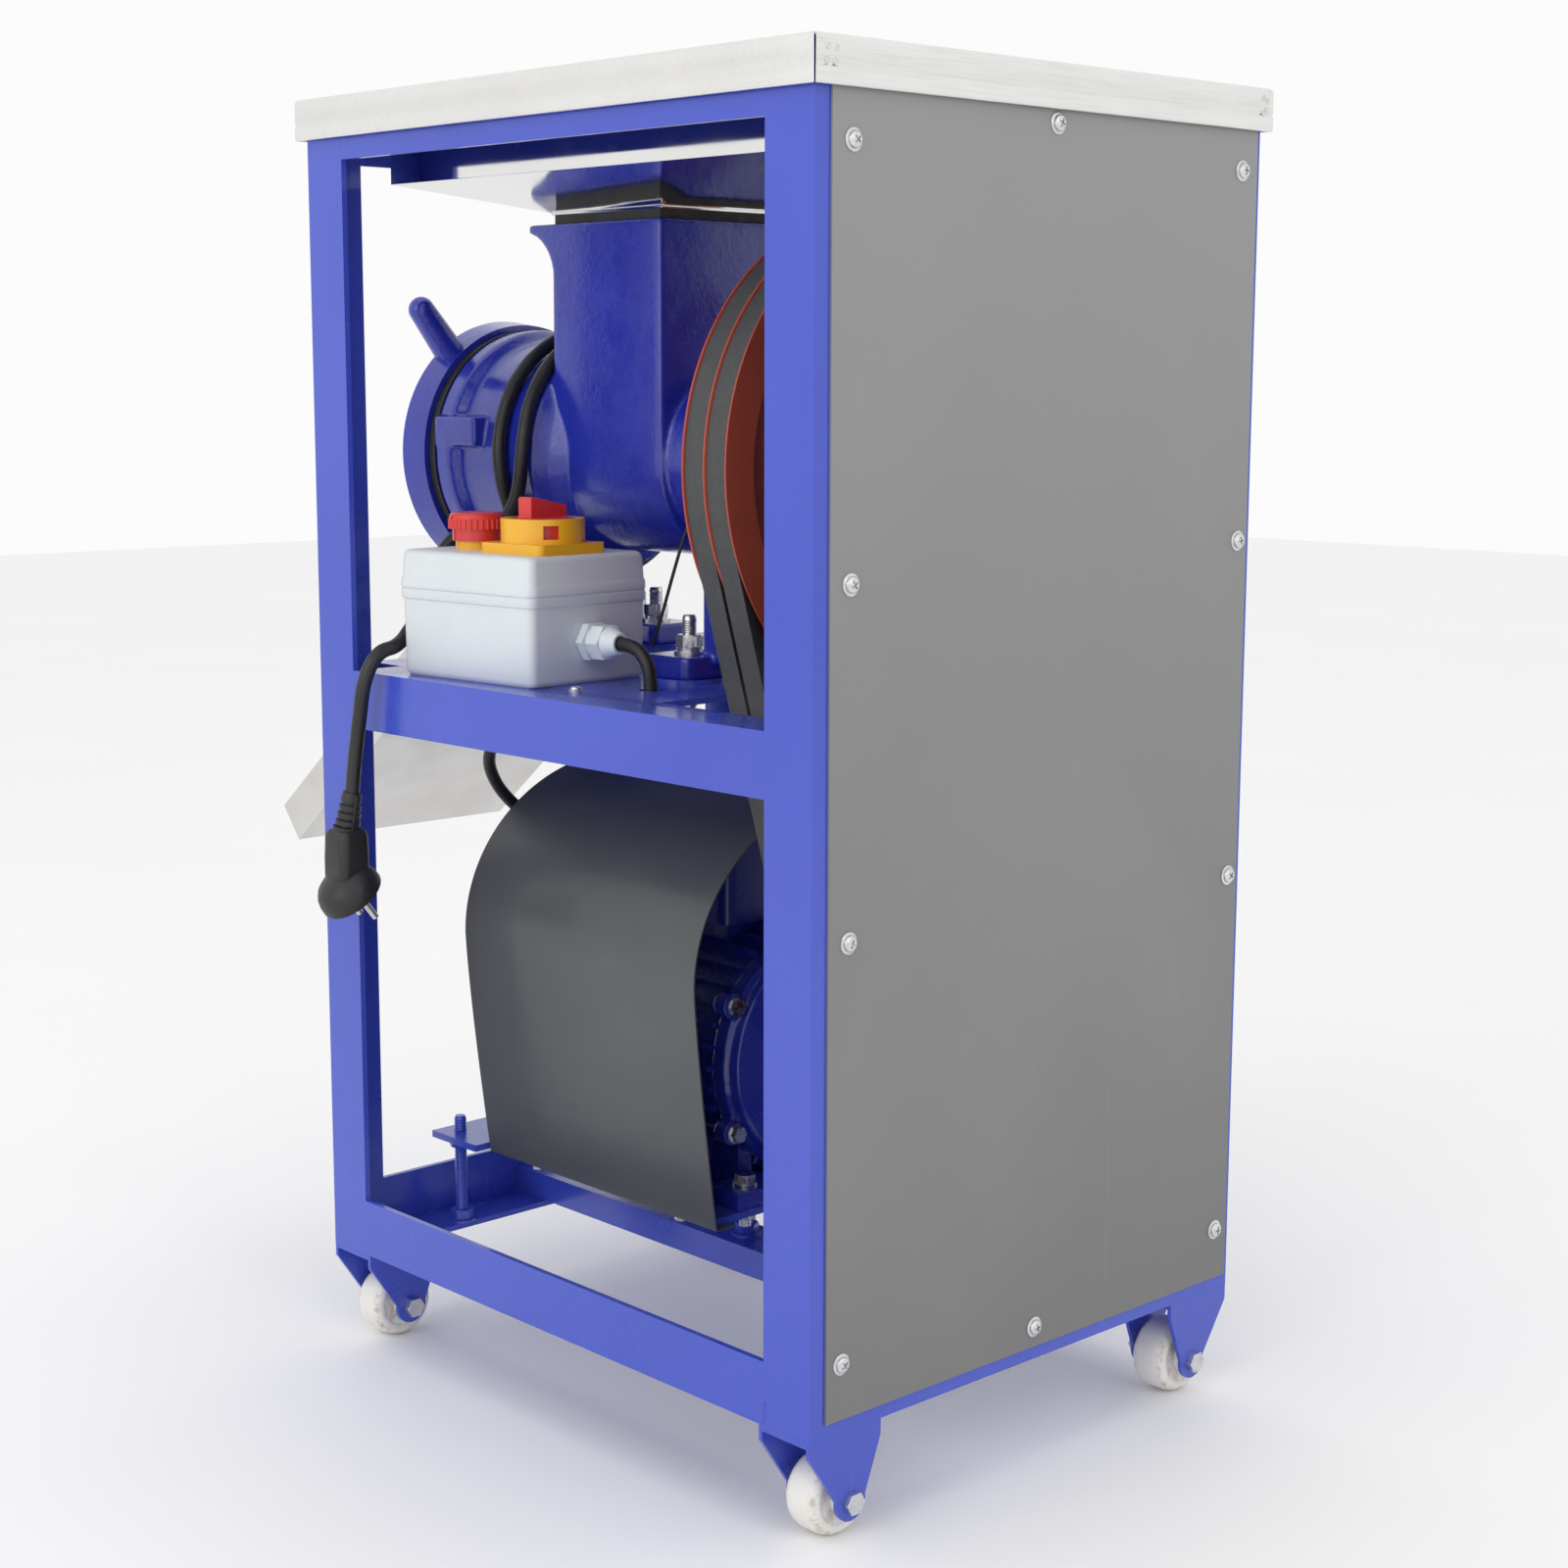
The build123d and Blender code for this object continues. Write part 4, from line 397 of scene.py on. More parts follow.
def twin(node, suffix):
    """A copy of a CAD node's mesh that replaces it."""
    mesh = nodes[node].data.copy()
    bm = bmesh.new()
    bm.from_mesh(mesh)
    bmesh.ops.remove_doubles(bm, verts=bm.verts, dist=1e-6)
    bm.to_mesh(mesh)
    bm.free()
    for layer in list(mesh.attributes):
        if layer.name in ("custom_normal", "sharp_face", "sharp_edge"):
            mesh.attributes.remove(layer)
    obj = link(node + suffix, mesh, slot_of[node])
    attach(obj, body_of[node])
    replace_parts(obj, node)
    return obj


def worn(node, width, segments=2, angle=30):
    """The node with its sharp edges rolled over by a small radius."""
    obj = twin(node, "_edged")
    bm = bmesh.new()
    bm.from_mesh(obj.data)
    bmesh.ops.dissolve_limit(bm, angle_limit=math.radians(1.0), verts=bm.verts, edges=bm.edges)
    bm.to_mesh(obj.data)
    bm.free()
    bevel = obj.modifiers.new("edge", "BEVEL")
    bevel.width = width
    bevel.segments = segments
    bevel.limit_method = "ANGLE"
    bevel.angle_limit = math.radians(angle)
    bevel.use_clamp_overlap = True
    bake(obj)
    shade(obj, 40)
    even = obj.modifiers.new("even", "WEIGHTED_NORMAL")
    even.keep_sharp = True
    even.weight = 100
    bake(obj)
    return obj


def cast(node, voxel, rounds):
    """The node as a casting: every corner and fillet softened."""
    obj = twin(node, "_cast")
    grid = obj.modifiers.new("grid", "REMESH")
    grid.mode = "VOXEL"
    grid.voxel_size = voxel
    soft = obj.modifiers.new("soft", "SMOOTH")
    soft.factor = 0.5
    soft.iterations = rounds
    bake(obj)
    obj.data.shade_smooth()
    return obj


def skin(bm, rings, capped=True):
    """A tube through rings of vertices, closed by a face at each end if capped."""
    for a, b in zip(rings, rings[1:]):
        for i in range(len(a)):
            j = (i + 1) % len(a)
            bm.faces.new((a[i], a[j], b[j], b[i]))
    if capped:
        bm.faces.new(rings[0])
        bm.faces.new(rings[-1])


def lathe(name, outline, centre, axis, slot, body="stand", sides=48, smooth=38):
    """Turns a (radius, along) outline about an axis: it runs between axis and axis, or is a closed ring."""
    axis = Vector(axis).normalized()
    u = axis.orthogonal().normalized()
    v = axis.cross(u)
    centre = Vector(centre)
    turns = [2 * math.pi * i / sides for i in range(sides)]
    bm = bmesh.new()
    rings = [[bm.verts.new(centre + axis * h + (u * math.cos(g) + v * math.sin(g)) * r) for g in turns]
             for r, h in outline]
    capped = outline[0][0] <= CORE
    skin(bm, rings if capped else rings + rings[:1], capped)
    return from_bmesh(name, bm, slot, body, smooth)


def thread(r, low, high, pitch, depth):
    """Outline points of a screw thread's grooves between two heights."""
    points = []
    h = low
    while h + pitch < high:
        points += [(r - depth, h), (r, h + pitch * 0.42), (r, h + pitch * 0.58)]
        h += pitch
    return points


def nut(name, x, y, z, flats, height, slot, turn):
    """A hexagon nut with its corners chamfered by a cone at both faces."""
    corner = flats / math.sqrt(3)
    sides = 48
    bm = bmesh.new()
    rings = []
    cone = flats * 0.505
    for h, reach in ((0, cone), (height * 0.10, corner), (height * 0.90, corner), (height, cone)):
        ring = []
        for i in range(sides):
            g = 2 * math.pi * i / sides
            hexagon = flats / 2 / math.cos((g % (math.pi / 3)) - math.pi / 6)
            r = min(hexagon, reach)
            ring.append(bm.verts.new((x + r * math.cos(g + turn), y + r * math.sin(g + turn), z + h)))
        rings.append(ring)
    skin(bm, rings)
    return from_bmesh(name, bm, slot, smooth=22)


def rounded(name, levels, origin, across, slot):
    """A stack of rounded rectangles (half x, half y, corner radius, height), tilted, in millimetres."""
    ax, ay, az = (Vector(d).normalized() for d in across)
    origin = Vector(origin)
    steps = 7
    bm = bmesh.new()
    rings = []
    for hx, hy, r, h in levels:
        ring = []
        for sx, sy, start in ((1, 1, 0), (-1, 1, 90), (-1, -1, 180), (1, -1, 270)):
            for k in range(steps + 1):
                a = math.radians(start + 90 * k / steps)
                px = sx * (hx - r) + r * math.cos(a)
                py = sy * (hy - r) + r * math.sin(a)
                ring.append(bm.verts.new(origin + (ax * px + ay * py + az * h) / 1000))
        rings.append(ring)
    skin(bm, rings)
    return from_bmesh(name, bm, slot, smooth=40)


def at(x, y, z):
    """A point in millimetres, height taken from the underside of the frame."""
    return (x / 1000, y / 1000, FRAME_Z + z / 1000)


# ------------------------------------------------------------------ cords
BOX_YAW = math.radians(4.0)
GLAND_TIP = 93.1
BARREL_Z = 565.0


def box_point(x, y, z):
    """A point given in millimetres in the switch box's own directions."""
    return (0.1297 + (math.cos(BOX_YAW) * x - math.sin(BOX_YAW) * y) / 1000,
            -0.107 + (math.sin(BOX_YAW) * x + math.cos(BOX_YAW) * y) / 1000, SHELF_Z + z / 1000)


MOTOR_LEAD = [
    box_point(0, GLAND_TIP, 28), box_point(0, GLAND_TIP + 14, 28), at(121.6, 12.5, 439), at(121, 15.5, 425),
    at(121, 15.1, 405), at(120, 2, 389), at(117.5, -24, 384), at(113.5, -72, 386), at(109, -122, 385),
    at(106, -164, 375), at(101, -189, 353), at(90, -196, 333), at(77, -195, 317), at(58, -190, 300),
    at(38, -176, 285), at(25, -155, 277), at(22.2, -131, 280), at(22, -107, 280),
]
FEED = [
    box_point(0, -GLAND_TIP, 28), box_point(0, -GLAND_TIP - 12, 28), at(133, -223, 462), at(123, -222, 485),
    at(110, -213, 508), at(91, -204, 519), at(69, -199, 505),
]
COIL_STEPS = 28
COIL_FROM, COIL_TO = -62.0, -716.0
COIL_RADIUS = 87.0
step = math.radians((COIL_TO - COIL_FROM) / COIL_STEPS)
reach = COIL_RADIUS / math.cos(step / 2)
COIL = []
for k in range(COIL_STEPS + 1):
    t = k / COIL_STEPS
    angle = math.radians(COIL_FROM) + step * k
    COIL.append(at(reach * math.cos(angle), -195.5 + 12 * t + 24 * t ** 3,
                   BARREL_Z + reach * math.sin(angle)))
TAIL = [
    at(87.6, -165, 538), at(91, -178, 519), at(100, -188, 502), at(117, -192, 486), at(141, -191, 471),
    at(163, -186, 453), at(183, -177, 438), at(204.5, -171, 436.5), at(213, -176, 418), at(213.5, -182, 389),
    at(216, -185, 361), at(218, -186, 339),
]
MAINS = FEED + COIL + TAIL


def nurbs_curve(name, points, resolution):
    """A smooth open spline with these control points."""
    data = bpy.data.curves.new(name, "CURVE")
    data.dimensions = "3D"
    spline = data.splines.new("NURBS")
    spline.points.add(len(points) - 1)
    for point, co in zip(spline.points, points):
        point.co = (*co, 1)
    spline.order_u = 3
    spline.use_endpoint_u = True
    spline.resolution_u = resolution
    obj = bpy.data.objects.new(name, data)
    scene.collection.objects.link(obj)
    return obj


def length_of(points):
    """Length of the spline with these control points."""
    obj = nurbs_curve("route", points, 24)
    bpy.context.view_layer.update()
    graph = bpy.context.evaluated_depsgraph_get()
    mesh = bpy.data.meshes.new_from_object(obj.evaluated_get(graph))
    line = [v.co.copy() for v in mesh.vertices]
    bpy.data.objects.remove(obj)
    return sum((b - a).length for a, b in zip(line, line[1:]))


def lead(name, points, radius):
    """A round cord along its control points."""
    obj = nurbs_curve(name, points, 10)
    obj.data.bevel_depth = radius
    obj.data.bevel_resolution = 6
    obj.data.use_fill_caps = True
    obj.data.materials.append(MATERIALS["cord_black"])
    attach(obj, "stand")
    return obj


mains_length = length_of(MAINS)
motor_length = length_of(MOTOR_LEAD)
mains = lead("mains_lead", MAINS, 0.005)
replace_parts(mains, "mains_lead_feed", "mains_lead_coil", "mains_lead_tail")
motor_cable = lead("motor_cable", MOTOR_LEAD, 0.0045)
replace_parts(motor_cable, "motor_lead")

# moulded plug: slotted strain relief, grip block and a domed round body
lead_end = Vector(TAIL[-1])
grip_top = Vector(at(221.2, -189.2, 311))
down = (grip_top - lead_end).normalized()
relief_length = (grip_top - lead_end).length
relief_outline = [(CORE, -0.0005), (0.0061, -0.0005), (0.0066, 0.0004)]
for k in range(4):
    h0 = 0.003 + k * relief_length * 0.19
    radius = 0.0068 + 0.0026 * h0 / relief_length
    relief_outline += [(radius, h0), (radius, h0 + 0.0031), (0.0058, h0 + 0.0034), (0.0058, h0 + 0.0050)]
relief_outline += [(0.0098, relief_length * 0.84), (0.0100, relief_length + 0.004),
                   (CORE, relief_length + 0.004)]
relief = lathe("plug_relief", relief_outline, lead_end, down, "plug_black", sides=36)
rib = [(1.6, 4.2, 0.8, 1.0), (1.6, 4.8, 0.8, relief_length * 1000)]
ribs = [rounded(f"plug_relief_rib_{letter}", rib, lead_end + Vector((0, offset, 0)),
                ((1, 0, 0), (0, 1, 0), down), "plug_black")
        for letter, offset in (("a", -0.0038), ("b", 0.0038))]
grip = rounded("plug_grip", [(9.5, 10.5, 5.0, -1.5), (11.0, 12.0, 6.0, 0.0), (11.8, 13.0, 6.5, 3.0),
                             (12.2, 13.4, 6.5, 18.0), (12.0, 13.2, 6.0, 30.0), (9.0, 10.0, 5.0, 38.0)],
               grip_top + Vector((0, 0, 0.001)), ((1, 0, 0), (0, 1, 0), (0.01, 0.0, -1)), "plug_black")
tilt = math.radians(52)
face_dir = Vector((-math.cos(tilt), 0.0, -math.sin(tilt)))
dome = lathe("plug_dome", [(CORE, -0.0135), (0.0070, -0.0130), (0.0135, -0.0110), (0.0185, -0.0075),
                           (0.0215, -0.0030), (0.0228, 0.0015), (0.0230, 0.0062), (0.0226, 0.0074),
                           (0.0212, 0.0080), (0.0150, 0.0080), (CORE, 0.0080)],
             at(222, -189, 273), face_dir, "plug_black", sides=64)
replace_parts(grip, "plug_body")

# ------------------------------------------------------------------ CAD nodes with worn edges
for node, width in (("frame_posts", 0.0009), ("frame_top_rails", 0.0008), ("frame_mid_rails", 0.0008),
                    ("frame_bottom_rails", 0.0008), ("motor_rail", 0.0008), ("shelf_plate", 0.0006),
                    ("motor_plate", 0.0006), ("caster_forks", 0.0006), ("rear_panel", 0.0004),
                    ("hex_screws", 0.0004), ("caster_axles", 0.0005),
                    ("motor_foot_bolts", 0.0004), ("isolator_collar", 0.0008), ("isolator_knob", 0.0009),
                    ("cable_glands", 0.0005), ("big_pulley", 0.0004), ("stop_button", 0.0005)):
    worn(node, width)
for node, width, look in (("chute", 0.0004, "chute_steel"), ("feed_tray", 0.0005, "tray_steel")):
    sheet_part = worn(node, width)
    sheet_part.data.materials.clear()
    sheet_part.data.materials.append(MATERIALS[look])
cast("grinder_body", 0.0016, 9)
cast("motor_front_shield", 0.0012, 5)


# ------------------------------------------------------------------ stainless top
def arc(cx, cz, r, a0, a1, n=5):
    return [(cx + r * math.cos(math.radians(a0 + (a1 - a0) * i / n)),
             cz + r * math.sin(math.radians(a0 + (a1 - a0) * i / n))) for i in range(n + 1)]


# height of the skirt, its reach past the frame, sheet thickness, height of the hem, outer fold radius
SKIRT = 0.0274
OUT = 0.006
THICK = 0.0014
HEM = 0.0105
FOLD = 0.0032
# half sizes of the opening that the feed tray hangs in, and the open seam at the corners
MOUTH_X = 0.152
MOUTH_Y = 0.220
SEAM = 0.0008
low = TOP_Z - SKIRT


def skirt_profile(lip):
    """Top sheet, rolled edge, skirt with its hem step, and the hem turned back inside."""
    outer = [(-lip, TOP_Z)]
    outer += arc(OUT - FOLD, TOP_Z - FOLD, FOLD, 90, 0)
    outer += [(OUT, low + HEM + 0.0006), (OUT - 0.0005, low + HEM + 0.0001),
              (OUT - 0.0005, low + HEM - 0.0005), (OUT + 0.0002, low + HEM - 0.0011)]
    outer += arc(OUT - 0.0010, low + 0.0012, 0.0012, 0, -180, 6)
    outer += [(OUT - 0.0022, low + HEM), (OUT - THICK, low + HEM + 0.0006)]
    inner = arc(OUT - FOLD, TOP_Z - FOLD, FOLD - THICK, 0, 90)
    return outer + inner + [(-lip, TOP_Z - THICK)]


def top_fold(i, a, b):
    """One folded side between two corners of the frame, mitred at its ends."""
    along = (b - a).normalized()
    out = Vector((along.y, -along.x))
    lip, other = HALF_Y - MOUTH_Y, HALF_X - MOUTH_X
    if abs(out.x) > 0.5:
        lip, other = other, lip
    steps = 24
    bm = bmesh.new()
    rings = []
    for k in range(steps + 1):
        t = k / steps
        ring = []
        for o, z in skirt_profile(lip):
            mitre = (o if o >= 0 else o * other / lip) - SEAM
            wave = 0.00025 * math.sin(9.0 * t + i * 2.1) * max(0.0, min(1.0, (TOP_Z - z) / SKIRT))
            p = (a - along * mitre).lerp(b + along * mitre, t) + out * (o - abs(wave))
            ring.append(bm.verts.new((p.x, p.y, z)))
        rings.append(ring)
    skin(bm, rings)
    return from_bmesh(f"top_fold_{i}", bm, "stainless", smooth=50)


CORNERS = [Vector(c) for c in ((HALF_X, -HALF_Y), (HALF_X, HALF_Y), (-HALF_X, HALF_Y), (-HALF_X, -HALF_Y))]
for i, corner in enumerate(CORNERS):
    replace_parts(top_fold(i, corner, CORNERS[(i + 1) % 4]), "top_cover")


def spot_weld(name, x, z, y):
    """A shallow ringed mark left by a spot-welding electrode."""
    outline = [(0.0002, 0.0001), (0.0010, 0.00012), (0.0013, 0.0003), (0.0017, 0.0003), (0.0021, 0.0),
               (0.0002, -0.0002)]
    return lathe(name, outline, (x, y, z), (0, 1, 0), "chute_steel", sides=24)


for i, (x, z) in enumerate(((0.196, -0.0075), (0.189, -0.0080), (0.1965, -0.0150), (0.190, -0.0155),
                            (-0.199, -0.0085), (-0.195, -0.0065), (-0.1985, -0.0140), (-0.195, -0.0165))):
    spot_weld(f"spot_weld_{i}", x, TOP_Z + z, HALF_Y + OUT)


# ------------------------------------------------------------------ weld beads
def bead(name, a, b, radius, seed):
    """A lumpy weld bead between two points."""
    a, b = Vector(a), Vector(b)
    along = (b - a).normalized()
    u = along.orthogonal().normalized()
    v = along.cross(u)
    length = (b - a).length
    steps = max(8, int(length / 0.0009))
    bm = bmesh.new()
    rings = []
    for k in range(steps + 1):
        t = k / steps
        lump = 0.75 + 0.25 * abs(math.sin(k * 0.9 + seed)) + 0.12 * math.sin(k * 2.3 + seed * 3)
        taper = min(1.0, 6 * t + 0.25, 6 * (1 - t) + 0.25)
        r = radius * lump * taper
        centre = a.lerp(b, t) + u * radius * 0.15 * math.sin(k * 0.37 + seed)
        rings.append([bm.verts.new(centre + (u * math.cos(g) + v * math.sin(g)) * r)
                      for g in (2 * math.pi * i / 10 for i in range(10))])
    skin(bm, rings)
    return from_bmesh(name, bm, "blue_paint", smooth=80)


# where rails meet the posts: y of the joint, lower and upper end above the frame's underside, bead radius
SEAM_Y = HALF_Y - 0.040
RAIL_WELDS = [(SEAM_Y, 0.000, 0.017, 0.0018), (SEAM_Y, 0.024, 0.040, 0.0008),
              (SEAM_Y, 0.380, 0.418, 0.0006), (-SEAM_Y, 0.000, 0.040, 0.0007),
              (-SEAM_Y, 0.380, 0.418, 0.0006), (SEAM_Y, 0.764, 0.776, 0.0007)]
for i, (y, z0, z1, r) in enumerate(RAIL_WELDS):
    for hand, x, seed in (("right", HALF_X - 0.0006, 1.3), ("left", 0.0006 - HALF_X, 4.1)):
        bead(f"weld_{hand}_{i}", (x, y, FRAME_Z + z0 + 0.001), (x, y, FRAME_Z + z1), r, i + seed)
for i, (x, y) in enumerate(((0.196, 0.240), (0.196, -0.240), (-0.196, 0.240), (-0.196, -0.240))):
    bead(f"weld_caster_{i}", (x, y - math.copysign(0.028, y), FRAME_Z - 0.0002),
         (x, y, FRAME_Z - 0.0002), 0.0010, i + 0.7)


# ------------------------------------------------------------------ motor cover
def cover_side(s):
    """Height share to width share: the sides lean in and turn smoothly into the shoulders."""
    return 1 - (1 - s) ** 1.25


def motor_cover():
    """Bent sheet over the motor: turned-in feet, leaning sides and an elliptic arch, in millimetres."""
    half, rise, foot, mid, low_z = 135.0, 116.0, 116.0, 232.0, 66.8
    bend, sheet = 2.2, 1.2
    front, depth = -172, 244
    outer = [(foot - 18.0, low_z), (foot - bend, low_z), (foot - 0.6, low_z + 0.6), (foot, low_z + bend)]
    for k in range(1, 17):
        share = k / 16
        outer.append((foot + (half - foot) * cover_side(share), low_z + bend + (mid - low_z - bend) * share))
    for k in range(1, 49):
        a = math.pi / 2 * k / 48
        outer.append((half * math.cos(a), mid + rise * math.sin(a)))
    outer += [(-x, z) for x, z in reversed(outer[:-1])]
    inner = []
    for i, (x, z) in enumerate(outer):
        x0, z0 = outer[max(0, i - 1)]
        x1, z1 = outer[min(len(outer) - 1, i + 1)]
        d = math.hypot(x1 - x0, z1 - z0)
        inner.append((x - (z1 - z0) / d * sheet, z + (x1 - x0) / d * sheet))
    bm = bmesh.new()
    sections = []
    for k in range(25):
        y = front + depth * k / 24
        wave = 0.35 * abs(math.sin(k * 0.55))
        section = []
        for x, z in outer + list(reversed(inner)):
            lean = max(0.0, min(1.0, (z - 75) / 60)) * max(0.0, min(1.0, (mid + rise - z) / 60))
            section.append(bm.verts.new(at(x - wave * lean * (1 if x > 0 else -1), y, z)))
        sections.append(section)
    skin(bm, sections)
    return from_bmesh("motor_cover_sheet", bm, "grey_cover", smooth=35)


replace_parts(motor_cover(), "motor_cover")

# ------------------------------------------------------------------ switch box
box_x = (math.cos(BOX_YAW), math.sin(BOX_YAW), 0)
box_y = (-math.sin(BOX_YAW), math.cos(BOX_YAW), 0)
BOX_FRAME = (box_x, box_y, (0, 0, 1))
base = rounded("switch_box_tub", [
    (49.0, 63.0, 4.0, 0.0), (50.6, 64.6, 5.2, 1.4), (51.2, 65.2, 5.6, 4.0), (52.0, 66.0, 6.0, 51.5),
    (53.0, 67.0, 6.4, 52.3), (53.4, 67.4, 6.8, 53.2), (53.5, 67.5, 6.8, 58.2), (52.7, 66.7, 6.2, 59.0)],
    box_point(0, 0, 0), BOX_FRAME, "box_plastic")
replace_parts(base, "switch_box_base")
lid = rounded("switch_box_cover", [
    (52.5, 66.5, 6.2, 58.9), (53.3, 67.3, 6.8, 59.5), (53.6, 67.6, 7.0, 60.4), (53.5, 67.5, 7.0, 65.2),
    (52.9, 66.9, 6.6, 66.2), (52.6, 66.6, 6.4, 67.0), (51.9, 65.9, 6.2, 80.6), (51.4, 65.4, 6.0, 82.8),
    (50.2, 64.2, 5.4, 84.3), (48.4, 62.4, 4.4, 85.0)], box_point(0, 0, 0), BOX_FRAME, "box_plastic")
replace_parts(lid, "switch_box_lid")

# ------------------------------------------------------------------ bolts and screws
def threaded_rod(name, x, y, outline, slot):
    """A rod turned from a (radius, height) outline in millimetres."""
    points = [(r / 1000, h / 1000) for r, h in outline]
    points = [(CORE, points[0][1])] + points + [(CORE, points[-1][1])]
    return lathe(name, points, at(x, y, 0), (0, 0, 1), slot, sides=32, smooth=50)


def washer(name, outline, place, slot):
    """A flat or spring washer around an upright bolt, from its (radius, height) section."""
    return lathe(name, outline, place, (0, 0, 1), slot)


# foot bolts of the grinder, up through the shelf: heights above the frame's underside, in millimetres
PAD = 438.0
FOOT_BOLT_LOW = 402.0
FOOT_BOLT_TOP = PAD + 26.0
for i, (x, y) in enumerate((x, y) for x in (67.0, -67.0) for y in (-8.0, -199.0)):
    outline = [(4.6, FOOT_BOLT_LOW)] + thread(5.0, FOOT_BOLT_LOW + 0.6, PAD + 24.6, 1.5, 0.65)
    outline += [(4.5, FOOT_BOLT_TOP - 0.8), (3.6, FOOT_BOLT_TOP)]
    rod = threaded_rod(f"foot_stud_{i}", x, y, outline, "zinc")
    px, py, pz = at(x, y, PAD)
    nut(f"foot_nut_{i}", px, py, pz + 0.0045, 0.016, 0.0085, "zinc", 0.35 + i)
    nut(f"foot_lock_{i}", px, py, at(x, y, FOOT_BOLT_LOW + 4)[2], 0.016, 0.0095, "zinc", 0.9 + i)
    flat = [(0.0051, 0.0), (0.0105, 0.0), (0.0105, 0.0020), (0.0100, 0.0022), (0.0051, 0.0022)]
    washer(f"foot_washer_{i}", flat, (px, py, pz), "zinc")
    spring = [(0.0052, 0.0022), (0.0085, 0.0022), (0.0086, 0.0044), (0.0052, 0.0044)]
    washer(f"foot_spring_{i}", spring, (px, py, pz), "zinc")
    if i == 0:
        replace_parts(rod, "foot_bolts")

# jack studs under the motor plate: place, the height that each stands on, how far it starts below
# that, and its end above the plate
PLATE = 73.0
JACKS = [(111.0, -215.0, 4.0, 4.0, 11.0), (-111.0, -215.0, 4.0, 4.0, 11.0), (18.0, -5.0, 24.0, 2.0, 3.4)]
for i, (x, y, seat, below, end) in enumerate(JACKS):
    outline = [(4.2, seat - below)] + thread(4.5, seat - 1.4, PLATE + end - 1.0, 1.5, 0.5)
    outline += [(3.4, PLATE + end)]
    rod = threaded_rod(f"jack_rod_{i}", x, y, outline, "blue_paint")
    jx, jy, jz = at(x, y, seat)
    flat = [(0.0046, 0.0), (0.0105, 0.0), (0.0103, 0.0020), (0.0046, 0.0020)]
    washer(f"jack_washer_{i}", flat, (jx, jy, jz), "blue_paint")
    nut(f"jack_foot_nut_{i}", jx, jy, jz + 0.002, 0.015, 0.007, "blue_paint", 0.5 + i)
    nut(f"jack_top_nut_{i}", jx, jy, at(x, y, PLATE - 12)[2], 0.015, 0.007, "blue_paint", 0.1 + i)
    if i == 0:
        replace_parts(rod, "jack_studs")


def pan_screw():
    """A pan-head screw with a cross recess on its captive washer, along +Z."""
    head = [(CORE, 0.0), (0.0066, 0.0), (0.0066, 0.0007), (0.0060, 0.0011), (0.0050, 0.0012),
            (0.0050, 0.0020), (0.0047, 0.0027), (0.0040, 0.0033), (0.0028, 0.0037), (0.0014, 0.0039),
            (CORE, 0.0039)]
    blank = lathe("screw_blank", head, (0, 0, 0), (0, 0, 1), "zinc", sides=40)
    cutters = []
    for k in range(2):
        bm = bmesh.new()
        bmesh.ops.create_cube(bm, size=1)
        spin = Matrix.Rotation(math.pi / 4 + math.pi / 2 * k, 4, "Z")
        wing = Matrix.Translation((0, 0, 0.0034)) @ spin @ Matrix.Diagonal((0.0054, 0.0011, 0.0026, 1))
        bmesh.ops.transform(bm, verts=bm.verts, matrix=wing)
        cutters.append(from_bmesh(f"screw_cutter_{k}", bm, "zinc"))
    for cutter in cutters:
        slot_cut = blank.modifiers.new("recess", "BOOLEAN")
        slot_cut.operation = "DIFFERENCE"
        slot_cut.object = cutter
        slot_cut.solver = "EXACT"
    bake(blank)
    shade(blank, 30)
    mesh = blank.data
    for piece in (blank, *cutters):
        bpy.data.objects.remove(piece)
    return mesh


def put_screw(name, place):
    """One more copy of the screw, at a placement."""
    screw = bpy.data.objects.new(name, screw_mesh)
    scene.collection.objects.link(screw)
    screw.matrix_world = place
    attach(screw, "stand")
    return screw


# (x, height above the frame's underside) of the panel's screws, in millimetres
PANEL_SCREWS = [(172, 750), (1, 770), (-180, 752), (-186, 515), (172, 505),
                (-186, 291), (172, 298), (-183, 44), (3, 22.5), (176, 44)]
PANEL_Y = (HALF_Y + 0.0015) * 1000
screw_mesh = pan_screw()
to_rear = Matrix.Rotation(-math.pi / 2, 4, "X")
for i, (x, z) in enumerate(PANEL_SCREWS):
    place = Matrix.Translation(at(x, PANEL_Y, z)) @ to_rear @ Matrix.Rotation(i * 1.9, 4, "Z")
    screw = put_screw(f"panel_screw_{i}", place)
    if i == 0:
        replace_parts(screw, "panel_screws")
smaller = Matrix.Diagonal((0.75, 0.75, 0.75, 1))
put_screw("shelf_screw", Matrix.Translation((0.1582, -0.0158, SHELF_Z)) @ smaller)

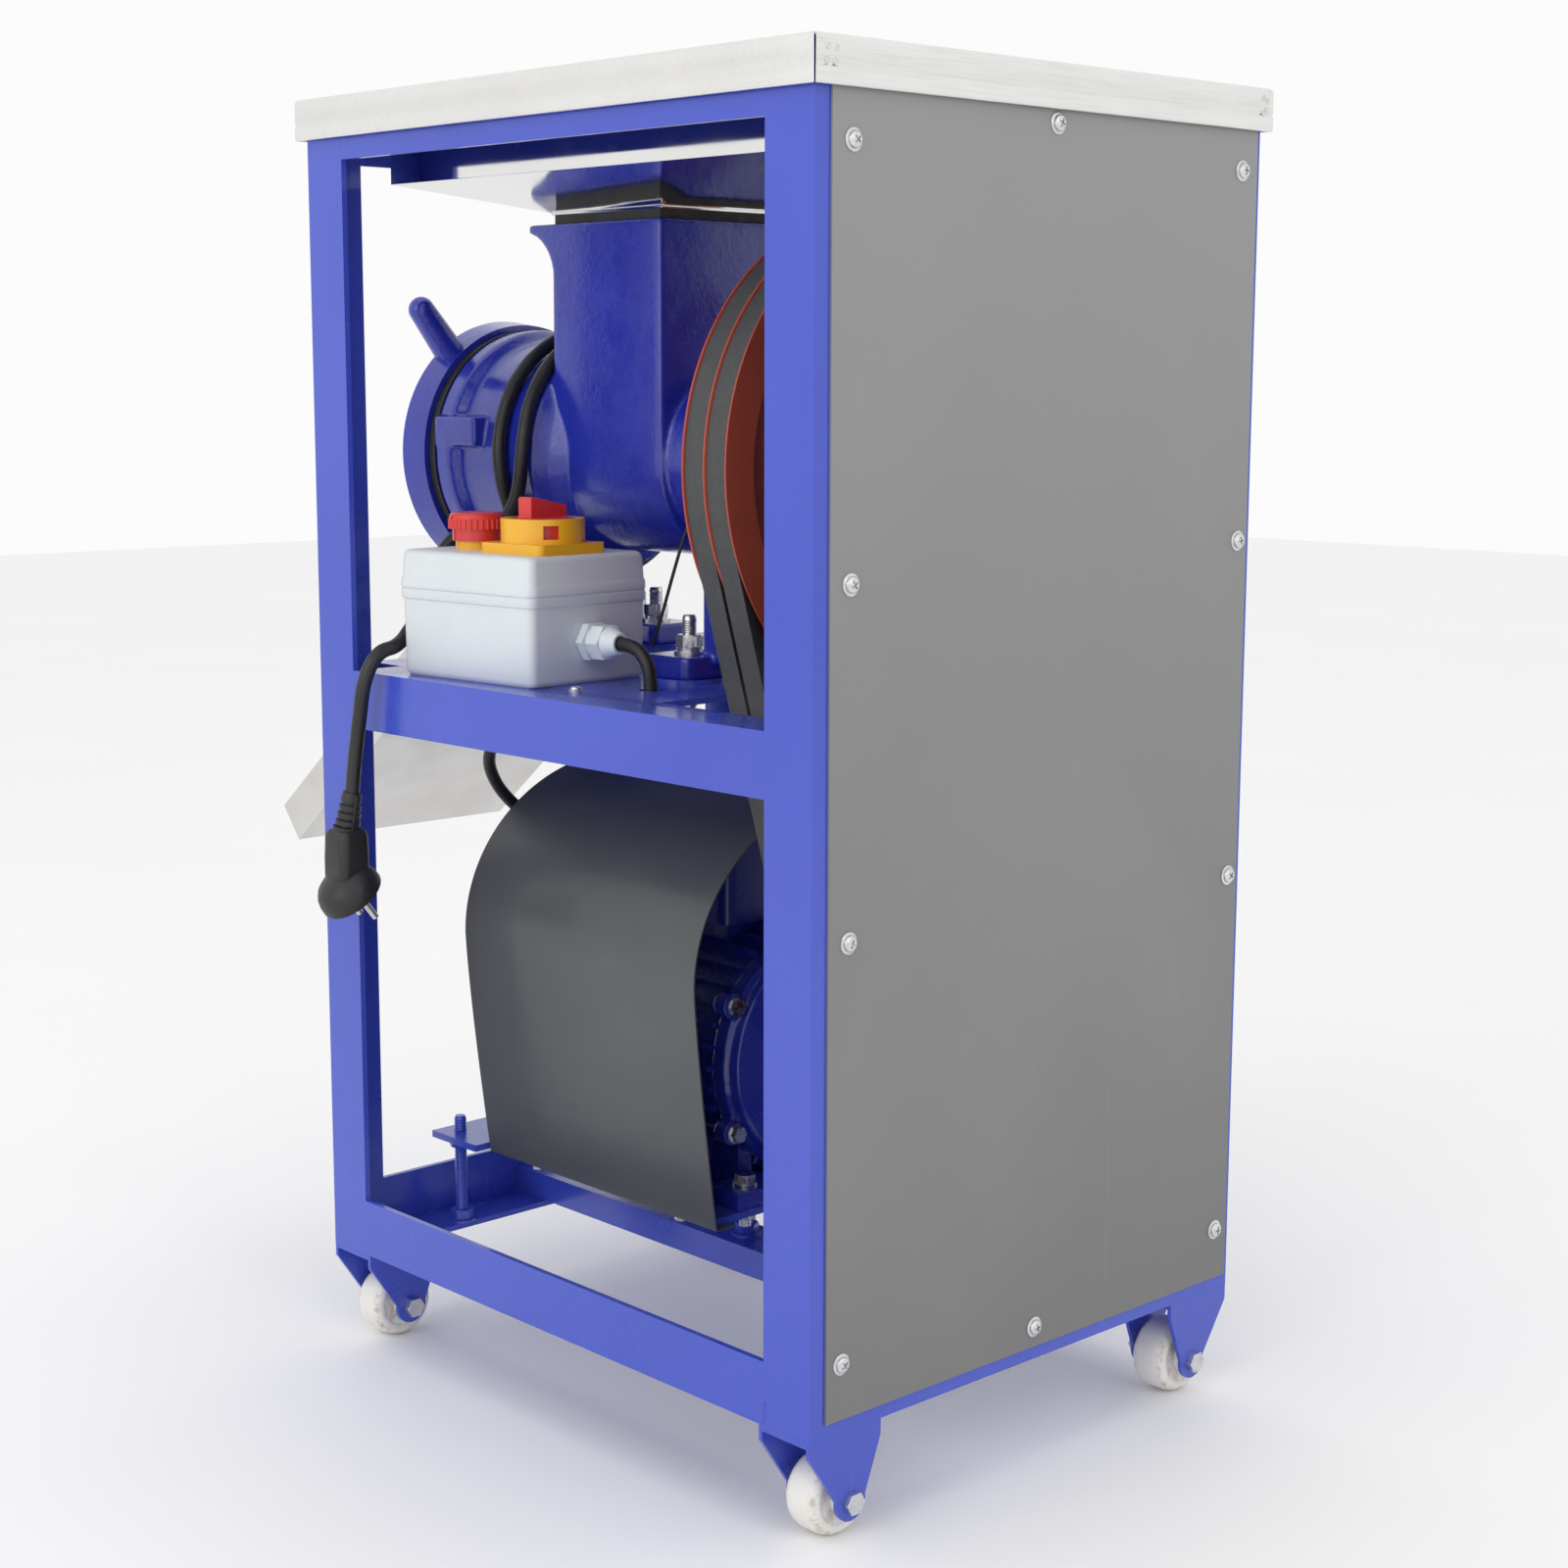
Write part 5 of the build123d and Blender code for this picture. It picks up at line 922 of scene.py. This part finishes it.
# ------------------------------------------------------------------ casters
for hand, x in (("left", -0.165), ("right", 0.165)):
    for end, y in (("front", -WHEEL_Y), ("rear", WHEEL_Y)):
        outline = [(0.00405, -0.0165), (0.0086, -0.0165), (0.0090, -0.0160), (0.0090, -0.0120),
                   (0.0160, -0.0120), (0.0172, -0.0130), (0.0190, -0.0134), (0.0208, -0.0130),
                   (0.0226, -0.0116), (0.0239, -0.0094), (0.0247, -0.0066), (0.0250, -0.0030)]
        outline += [(r, -h) for r, h in reversed(outline)]
        name = f"wheel_{end}_{hand}"
        wheel = lathe(name + "_turned", outline, (x, y, 0.025), (0, 1, 0), "nylon_white", name, sides=96)
        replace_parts(wheel, name)

# ------------------------------------------------------------------ cable tie
def tie(points, half_width):
    """The free tail of a cable tie: a thin flat strip."""
    bm = bmesh.new()
    rings = []
    for x, y, z in points:
        here = Vector(at(x, y, z))
        rings.append([bm.verts.new(here + Vector((dx * 0.0005, dy * half_width, 0)))
                      for dx, dy in ((1, 1), (-1, 1), (-1, -1), (1, -1))])
    skin(bm, rings)
    return from_bmesh("cable_tie_tail", bm, "black_plastic", smooth=60)


tie([(74, 2, 530), (75.5, -6, 511), (76, -15, 489), (75.5, -25, 466), (75, -37, 441)], 0.0012)

# ------------------------------------------------------------------ floor and light
floor_bm = bmesh.new()
bmesh.ops.create_grid(floor_bm, x_segments=1, y_segments=1, size=8)
floor_mesh = bpy.data.meshes.new("floor")
floor_bm.to_mesh(floor_mesh)
floor_bm.free()
floor = bpy.data.objects.new("floor", floor_mesh)
scene.collection.objects.link(floor)
pale = Surface("pale_floor", (0.90, 0.90, 0.90), 0.7)
pale.tint(pale.span(pale.noise(2, 2), 0.4, 0.7, 0, 0.4), (0.93, 0.93, 0.93))
floor_mesh.materials.append(pale.mat)

world = bpy.data.worlds.new("studio")
scene.world = world
world.use_nodes = True
world.node_tree.nodes["Background"].inputs["Color"].default_value = (1, 1, 1, 1)
world.node_tree.nodes["Background"].inputs["Strength"].default_value = 0.97


def softbox(name, place, target, size, power):
    data = bpy.data.lights.new(name, "AREA")
    data.shape = "RECTANGLE"
    data.size, data.size_y = size
    data.energy = power
    lamp = bpy.data.objects.new(name, data)
    lamp.location = place
    lamp.rotation_euler = (Vector(target) - Vector(place)).to_track_quat("-Z", "Y").to_euler()
    scene.collection.objects.link(lamp)


softbox("key", (2.6, 0.2, 1.5), (0, 0, 0.5), (1.8, 1.8), 15)
softbox("fill", (0.3, 2.8, 1.8), (0, 0, 0.6), (1.6, 1.6), 5)
softbox("overhead", (0.4, 0.2, 3.0), (0, 0, 0.5), (2.2, 2.2), 6)
scene.view_settings.view_transform = "Standard"
